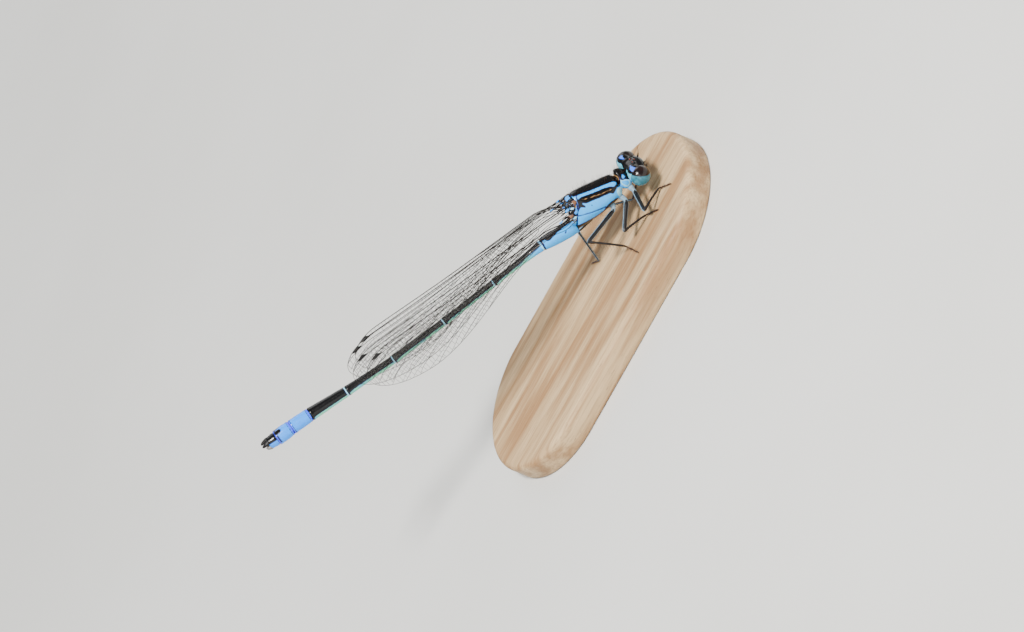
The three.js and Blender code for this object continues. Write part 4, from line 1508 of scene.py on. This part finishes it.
@dataclass
class Hinges:
    """The knobs and soft skins that join the wings to the thorax on one side."""

    side: Side
    voxel: float = 0.035
    # middle (x, away from the body's middle, z), half sizes, what it shows
    lumps: tuple = (
        ((-1.3, 0.12, 1.84), (0.24, 0.22, 0.16), "blue"),
        ((-1.2, 0.42, 1.78), (0.3, 0.16, 0.14), "black"),
        ((-1.2, 0.62, 1.66), (0.28, 0.2, 0.2), "tan"),
        ((-1.42, 0.5, 1.7), (0.2, 0.3, 0.16), "tan"),
        ((-1.48, 0.76, 1.42), (0.17, 0.13, 0.14), "white"),
        ((-1.62, 0.6, 1.74), (0.3, 0.1, 0.13), "black"),
        ((-2.0, 0.63, 1.82), (0.2, 0.07, 0.09), "blue"),
        ((-2.26, 0.65, 1.8), (0.3, 0.05, 0.09), "black"),
        ((-1.86, 0.68, 1.5), (0.2, 0.11, 0.1), "blue"),
        ((-2.2, 0.68, 1.45), (0.3, 0.05, 0.08), "black"),
        ((-1.68, 0.78, 1.28), (0.26, 0.14, 0.13), "black"),
        ((-1.92, 0.84, 1.04), (0.28, 0.14, 0.17), "tan"),
        ((-2.3, 0.98, 1.26), (0.3, 0.08, 0.09), "black"),
        ((-2.7, 1.1, 1.24), (0.2, 0.06, 0.08), "blue"),
        ((-2.3, 0.96, 0.98), (0.26, 0.07, 0.08), "black"),
        ((-1.7, 0.72, 0.76), (0.22, 0.18, 0.17), "white"),
        ((-1.45, 0.7, 1.1), (0.26, 0.22, 0.26), "blue"),
    )

    def build(self, finish: bpy.types.Material) -> None:
        """Melts the side's lumps into one piece, dark along the seams between them.

        Args:
            finish: the piece's material.
        """
        way = (1, self.side.value, 1)
        placed = [(np.array(middle) * way, np.array(half)) for middle, half, _ in self.lumps]
        spots, faces = moulded([(tuple(middle), tuple(half)) for middle, half in placed], self.voxel)
        near = np.array([np.linalg.norm((spots - middle) / half, axis=1) for middle, half in placed])
        order = np.sort(near, axis=0)
        owner = np.array([shows for _, _, shows in self.lumps])[near.argmin(axis=0)]
        seam = 0.1 - 0.25 * (order[1] - order[0])
        marks = {"black": np.where(owner == "black", 0.2, seam), "tan": np.where(owner == "tan", -seam, OFF),
                 "pale": np.where(owner == "white", 0.2, OFF), "navy": np.full(len(spots), OFF),
                 "rear": np.zeros(len(spots))}
        dressed(f"wing_hinges_{self.side.word}", (spots, faces), finish, "cuticle_blue", marks=marks)


@dataclass
class Leg:
    """One leg, from its hip to its foot, with its stripe, bristles and claws."""

    node: str
    side: Side
    coxa: tuple[float, float, float]
    trochanter: tuple[float, float, float]
    knee: tuple[float, float, float]
    ankle: tuple[float, float, float]
    toe: tuple[float, float, float]
    around: int = 16
    # a stripe runs from one turn about the leg to another, counted from its outward side
    thigh_stripe: tuple[float, float] = (0.95, 2.2)
    shin_stripe: tuple[float, float] = (1.9, 2.6)
    hip_dot: float = 0.085
    bristle_rows: tuple = (1.75, -1.75, 2.5, -2.5)
    bristle_plan: tuple = ((2, 13, 0.3), (3, 11, 0.4), (4, 3, 0.14), (5, 3, 0.14), (6, 4, 0.12))

    def joints(self) -> list[np.ndarray]:
        """The leg's joints in the body's frame."""
        fixed = [np.array(part, float) for part in (self.coxa, self.trochanter, self.knee)]
        return fixed + [on_board(*self.ankle), on_board(*self.toe)]

    def outward(self) -> np.ndarray:
        """The way the black stripe faces."""
        way = np.array([0.1, self.side.value * 0.85, 0.5])
        return way / np.linalg.norm(way)

    @staticmethod
    def stretch(start: np.ndarray, end: np.ndarray, shares: list, radii: list,
                bow: float = 0.0) -> tuple[np.ndarray, np.ndarray]:
        """Gives a path and radii along one length of the leg.

        Args:
            start: the length's first joint.
            end: its last one.
            shares: how far along it each radius is told, 0 to 1.
            radii: the radii there.
            bow: how far its middle is raised.

        Returns:
            The path and the radius at each of its points.
        """
        at = np.linspace(0.0, 1.0, 26)
        path = start + at[:, None] * (end - start)
        path = path + np.sin(at * math.pi)[:, None] * bow * UP
        return path, np.interp(at, shares, radii)

    def lengths(self) -> list:
        """The leg's lengths: path, radii, black stripe, how much of the foot's brown it shows.

        Returns:
            One row for each length, from hip to toe.
        """
        coxa, trochanter, knee, ankle, toe = self.joints()
        hip, thigh = coxa + (trochanter - coxa) * 0.9, knee - trochanter
        first, second = (ankle + (toe - ankle) * share for share in (0.28, 0.56))
        foot = [0, 0.2, 0.9, 1]
        return [
            (*self.stretch(coxa, hip, [0, 0.6, 1], [0.25, 0.22, 0.14]), None, 0.0),
            (*self.stretch(hip, trochanter + thigh * 0.07, [0, 0.5, 1], [0.13, 0.165, 0.14]), None, 0.0),
            (*self.stretch(trochanter + thigh * 0.06, knee, [0, 0.1, 0.6, 0.94, 1],
                           [0.14, 0.175, 0.155, 0.15, 0.1]), self.thigh_stripe, 0.0),
            (*self.stretch(knee, ankle, [0, 0.05, 0.2, 0.9, 1], [0.09, 0.11, 0.085, 0.075, 0.06], 0.04),
             self.shin_stripe, 0.1),
            (*self.stretch(ankle, first, foot, [0.045, 0.055, 0.06, 0.04]), None, 1.0),
            (*self.stretch(first, second, foot, [0.04, 0.05, 0.058, 0.04]), None, 1.0),
            (*self.stretch(second, toe, foot, [0.04, 0.045, 0.06, 0.045]), None, 1.0),
        ]

    def skin(self, finish: bpy.types.Material) -> None:
        """Builds the leg's lengths, each closed by two rounded ends, as one piece.

        Args:
            finish: the piece's material.
        """
        parts, black, foot = [], [], []
        cap = np.linspace(0.0, 1.0, 5)[1:]
        for number, (path, radii, stripe, brown) in enumerate(self.lengths()):
            run = (path[-1] - path[0]) / np.linalg.norm(path[-1] - path[0])
            front = [path[0] - run * radii[0] * (1 - share) * 0.6 for share in cap]
            back = [path[-1] + run * radii[-1] * share * 0.6 for share in cap]
            path = np.vstack([front, path[1:], back])
            radii = np.concatenate([radii[0] * np.sqrt(1 - (1 - cap) ** 2 + 0.02), radii[1:],
                                    radii[-1] * np.sqrt(1.02 - cap**2)])
            rings, turned = swept(path, radii, self.around, self.outward())
            parts.append(rings)
            angles = np.full(len(turned), -9.0)
            if stripe:
                angles = np.maximum(stripe[0] - turned, turned - stripe[1])
            depth = angles * np.repeat(radii, self.around)
            if number == 1:
                dot = path[len(path) // 2 + 1] + self.outward() * radii.max()
                depth = np.maximum(depth, self.hip_dot - np.linalg.norm(rings.reshape(-1, 3) - dot, axis=1))
            black += [*depth, OFF, OFF]
            foot += [brown] * (len(depth) + 2)
        marks = {"black": np.array(black), "foot": np.array(foot)}
        dressed(f"{self.node}_skin", lofted(*parts), finish, "leg", [self.node], marks)

    def bristles(self, chance: np.random.Generator) -> tuple[np.ndarray, np.ndarray, np.ndarray]:
        """Places the long bristles of thigh, shin and foot.

        Args:
            chance: the seeded source of small differences.

        Returns:
            Roots, directions and lengths.
        """
        roots, leans, reaches = [], [], []
        for number, count, reach in self.bristle_plan:
            path, radii, _, _ = self.lengths()[number]
            run = (path[-1] - path[0]) / np.linalg.norm(path[-1] - path[0])
            out = self.outward()
            out = out - (out @ run) * run
            out /= np.linalg.norm(out)
            cross = np.cross(run, out)
            for row in self.bristle_rows:
                way = math.cos(row) * out + math.sin(row) * cross
                for step in range(count):
                    at = (step + 0.6 + 0.25 * chance.random()) / (count + 0.6)
                    middle = path[0] + (path[-1] - path[0]) * at
                    radius = float(np.interp(at, np.linspace(0, 1, len(radii)), radii))
                    roots.append(middle + way * radius * 0.85)
                    leans.append(way + run * 0.75 + chance.normal(0.0, 0.06, 3))
                    swell = 0.7 + 0.5 * math.sin(at * math.pi)
                    reaches.append(reach * (0.8 + 0.35 * chance.random()) * swell)
        return np.array(roots), np.array(leans), np.array(reaches)

    def claws(self) -> list:
        """Gives the two hooked claws as lines with radii.

        Returns:
            Pairs of (places, radii).
        """
        ankle, toe = self.joints()[3:]
        run = (toe - ankle) / np.linalg.norm(toe - ankle)
        share = np.linspace(0.0, 1.0, 9)[:, None]
        lines = []
        for way in (-1, 1):
            cross = np.cross(run, UP) * way
            path = toe + run * (0.02 + 0.15 * share) + cross * 0.09 * share - np.array([0, 0, 0.07]) * share**2
            lines.append((path, np.linspace(0.026, 0.006, 9)))
        return lines


@dataclass
class Board:
    """The plain oval wooden base."""

    length: float = 27.0
    width: float = 13.0
    thickness: float = 2.0
    chamfer: float = 0.45

    def build(self) -> None:
        """Builds and dresses the base with softly rounded edges."""
        half, soft = self.width / 2, self.chamfer
        turn = np.linspace(0.0, TURN, 160, endpoint=False)
        shift = np.where(np.cos(turn) >= 0, 1, -1) * (self.length - self.width) / 2
        under = [(part, 0.0) for part in np.linspace(0.2, half - soft * 0.5, 5)[:-1]]
        edge = [(half - soft * 0.5, 0.0), (half - soft * 0.15, 0.08), (half, 0.25)]
        edge += [(half - soft * (1 - math.cos(angle)), self.thickness - soft + soft * math.sin(angle))
                 for angle in np.linspace(0.0, math.pi / 2, 7)]
        upper = [(part, self.thickness) for part in np.linspace(half - soft, 0.2, 6)[1:]]
        rings = [np.stack([radius * np.cos(turn) + shift * min(1.0, radius / 0.3), radius * np.sin(turn),
                           np.full(len(turn), height)], axis=1) for radius, height in under + edge + upper]
        points, faces = lofted(np.array(rings))
        shown = solid("oval_board", points * MM, faces)
        shown.data.materials.append(OiledWood().build())
        carried(shown, "wood", ["stand_base"])


@dataclass
class Claspers:
    """The four claspers at the tail's tip."""

    length: float = 0.52
    lower_length: float = 0.32
    sunk: float = 0.12
    girth: tuple = ((0, 0.15, 0.5, 0.85, 1), (0.16, 0.19, 0.15, 0.1, 0.03))

    def build(self, trunk: Trunk, dark: bpy.types.Material, pale: bpy.types.Material) -> None:
        """Builds the upper pair dark and the lower pair grey.

        Args:
            trunk: the trunk, already built.
            dark: the upper pair's material.
            pale: the lower pair's.
        """
        joint, tilt = trunk.tip_end
        run = np.array([-math.cos(tilt), 0.0, math.sin(tilt)])
        rise = np.array([math.sin(tilt), 0.0, math.cos(tilt)])
        tip = np.array([joint[0], 0.0, joint[1]])
        share = np.linspace(0.0, 1.0, 20)
        arch = np.sin(share * math.pi)[:, None]
        plans = (("upper", 0.2, dark, -0.1, self.length), ("lower", -0.2, pale, 0.1, self.lower_length))
        for name, height, material, hook, length in plans:
            parts = []
            for side in Side:
                root = tip - run * self.sunk + rise * height + np.array([0, side.value * 0.2, 0])
                path = (root + share[:, None] * run * (length + self.sunk) + (share**2)[:, None] * rise * hook
                        + arch * (0, side.value * 0.05, 0))
                parts.append(swept(path, np.interp(share, *self.girth), 14, rise)[0])
            dressed(f"claspers_{name}", lofted(*parts), material, "cuticle_black")


@dataclass
class Hairs:
    """Fine pale-brown hairs on the thorax's back and belly."""

    count: int = 430
    seed: int = 11

    def build(self, trunk: Trunk, sprouts: Sprouts, material: bpy.types.Material) -> None:
        """Grows the hairs on the thorax's rings.

        Args:
            trunk: the trunk whose rings they grow on.
            sprouts: the node group that grows them.
            material: their material.
        """
        chance = np.random.default_rng(self.seed)
        rings, along = trunk.fore()
        rows = np.flatnonzero((along < 3.0) & (along > -1.7))
        roots, leans, reaches = [], [], []
        while len(roots) < self.count:
            row = int(chance.choice(rows))
            turn = int(chance.integers(trunk.around))
            rise = math.cos(turn / trunk.around * TURN)
            if chance.random() > (rise**3 if rise > 0 else rise**2 * 0.5):
                continue
            here = rings[row, turn]
            around = rings[row, (turn + 1) % trunk.around] - rings[row, turn - 1]
            ahead = rings[min(row + 1, len(rings) - 1), turn] - rings[row - 1, turn]
            out = np.cross(ahead, around)
            out /= np.linalg.norm(out) + 1e-9
            if out @ (here - rings[row].mean(0)) < 0:
                out = -out
            roots.append(here - out * 0.01)
            leans.append(out + chance.normal(0.0, 0.22, 3) + np.array([0.15, 0, 0]))
            reaches.append(0.26 + 0.24 * chance.random())
        plan = (np.array(roots), np.array(leans), np.array(reaches))
        carried(sprouts.grow("thorax_hairs", plan, 0.005, material), "cuticle_black")


@dataclass
class Studio:
    """The pale floor, the soft lights and the camera that holds the photo's view."""

    aim: tuple[float, float, float] = (-2.855, -1.345, 7.385)
    toward: tuple[float, float, float] = (0.2347, -0.8660, 0.4415)
    right: tuple[float, float, float] = (0.4753, -0.2940, -0.8292)
    up: tuple[float, float, float] = (0.8481, 0.4045, 0.3425)
    distance: float = 500.8
    lens: float = 250.0
    film_width: float = 36.0
    floor_reach: float = 3.0  # metres
    # name, way, reach, size, power, colour
    lamps: tuple = (
        ("key_light", (0.16, -0.445, 0.854), 0.45, 0.09, 4.3, (1.0, 0.98, 0.94)),
        ("fill_light", (-0.1, -1.0, 0.35), 0.5, 0.35, 0.9, (0.97, 0.99, 1.0)),
        ("rim_light", (0.4, 0.9, 0.7), 0.5, 0.3, 0.8, (1.0, 1.0, 1.0)),
    )
    glow: float = 0.4
    glow_colour: tuple = (0.9, 0.93, 1.0, 1.0)

    def camera(self) -> None:
        """Sets the camera at the photo's viewing angle."""
        lens = bpy.data.cameras.new("photo_camera")
        lens.lens, lens.sensor_width = self.lens, self.film_width
        lens.clip_start, lens.clip_end = 0.01, 20.0
        lens.dof.use_dof = False
        shown = linked("photo_camera", lens)
        basis = Matrix((self.right, self.up, self.toward)).transposed().to_4x4()
        basis.translation = (Vector(self.aim) + Vector(self.toward) * self.distance) * MM
        shown.matrix_world = basis
        bpy.context.scene.camera = shown

    def light(self, name: str, way: tuple, reach: float, size: float, power: float, colour: tuple) -> None:
        """Hangs one soft square light and turns it to the model.

        Args:
            name: what the light is called.
            way: the way from the model to the light.
            reach: how far off it hangs, in metres.
            size: the length of its sides, in metres.
            power: its power in watts.
            colour: its red, green and blue, 0 to 1.
        """
        lamp = bpy.data.lights.new(name, "AREA")
        lamp.size, lamp.energy, lamp.color = size, power, colour
        shown = linked(name, lamp)
        away = Vector(way).normalized()
        shown.location = Vector(self.aim) * MM + away * reach
        shown.rotation_euler = away.to_track_quat("Z", "Y").to_euler()

    def build(self) -> None:
        """Builds camera, floor, lights and the room's even glow."""
        self.camera()
        corners = np.array([(-1, -1, 0), (1, -1, 0), (1, 1, 0), (-1, 1, 0)]) * self.floor_reach
        floor = solid("studio_floor", corners, [(0, 1, 2, 3)])
        floor.data.materials.append(PaleFloor().build())
        for lamp in self.lamps:
            self.light(*lamp)
        world = bpy.data.worlds.new("studio_glow")
        world.use_nodes = True
        glow = world.node_tree.nodes["Background"]
        glow.inputs["Color"].default_value = self.glow_colour
        glow.inputs["Strength"].default_value = self.glow
        bpy.context.scene.world = world


def wings() -> list[Wing]:
    """The four wings, the fore pair inside the hind pair.

    Returns:
        The wings, ready to build.
    """
    made = []
    for side in Side:
        made.append(Wing(f"forewing_{side.word}", side, x=-0.95, length=19.95, root_y=0.5, plane_y=0.68,
                         root_z=1.72, mid_z=1.86, tip_z=2.0, lowest=-1.6, apex=0.55, nodus=0.37,
                         spot_at=0.934, seed=3))
        made.append(Wing(f"hindwing_{side.word}", side, x=-1.5, length=18.6, root_y=0.72, plane_y=1.48,
                         root_z=1.05, mid_z=1.62, tip_z=1.84, lowest=-1.92, apex=0.3, flare=0.08,
                         nodus=0.4, spot_at=0.925, seed=5))
    return made


def legs() -> list[Leg]:
    """The six legs.

    Returns:
        The legs, ready to build.
    """
    right, left = Side.RIGHT, Side.LEFT
    return [
        Leg("leg_fore_right", right, (2.7, -0.25, 0.1), (2.8, -0.62, -0.42), (2.53, -2.7, -1.0),
            (4.3, -1.45, 0.2), (5.08, -2.35, 0.06)),
        Leg("leg_fore_left", left, (2.7, 0.25, 0.1), (2.8, 0.62, -0.42), (2.55, 2.6, -1.0),
            (3.95, 1.5, 0.2), (4.6, 2.3, 0.06)),
        Leg("leg_mid_right", right, (1.65, -0.3, 0.0), (1.98, -0.7, -0.6), (0.55, -2.2, -1.69),
            (2.47, -1.75, 0.2), (3.3, -2.6, 0.06)),
        Leg("leg_mid_left", left, (1.65, 0.3, 0.0), (1.98, 0.7, -0.6), (0.6, 1.95, -1.64),
            (2.4, 1.2, 0.2), (3.2, 2.1, 0.06)),
        Leg("leg_hind_right", right, (1.0, -0.25, -0.25), (0.9, -0.66, -0.66), (-1.97, -2.0, -0.8),
            (0.0, -2.1, 0.6), (0.45, -3.2, 0.06)),
        Leg("leg_hind_left", left, (1.0, 0.25, -0.25), (0.9, 0.66, -0.66), (-2.04, 1.75, -1.73),
            (-2.06, 1.15, 0.2), (-2.5, 2.05, 0.06)),
    ]


def main() -> None:
    """Builds the model and its studio."""
    logging.basicConfig(level=logging.INFO, format="%(name)s: %(message)s")
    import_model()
    Studio().build()
    horn = Horn("vein_horn", tint(7, 4, 3), tint(26, 17, 13)).build()
    dark = Horn("spot_black", tint(8, 6, 7), tint(20, 16, 16), 0.42).build()
    grey = Horn("clasper_grey", tint(96, 92, 88), tint(140, 138, 134), 0.42).build()
    bristle = Horn("bristle_brown", tint(40, 26, 19), tint(92, 66, 46), 0.4).build()
    trunk = Trunk()
    trunk.build()
    Head().build(horn)
    film, veining, sprouts = WingFilm().build(), Veining(), Sprouts()
    for wing in wings():
        wing.build(film, horn, dark, veining)
    joint_skin = Cuticle("hinge_cuticle", ground=tint(40, 160, 255), tan=tint(120, 84, 58)).build()
    for side in Side:
        Hinges(side).build(joint_skin)
    skin = LimbSkin().build()
    chance = np.random.default_rng(BRISTLE_SEED)
    for leg in legs():
        leg.skin(skin)
        carried(sprouts.grow(f"{leg.node}_bristles", leg.bristles(chance), 0.009, bristle), "leg")
        carried(veining.run(f"{leg.node}_claws", leg.claws(), bristle), "leg")
    Claspers().build(trunk, dark, grey)
    Hairs().build(trunk, sprouts, bristle)
    Board().build()


if __name__ == "__main__":
    main()
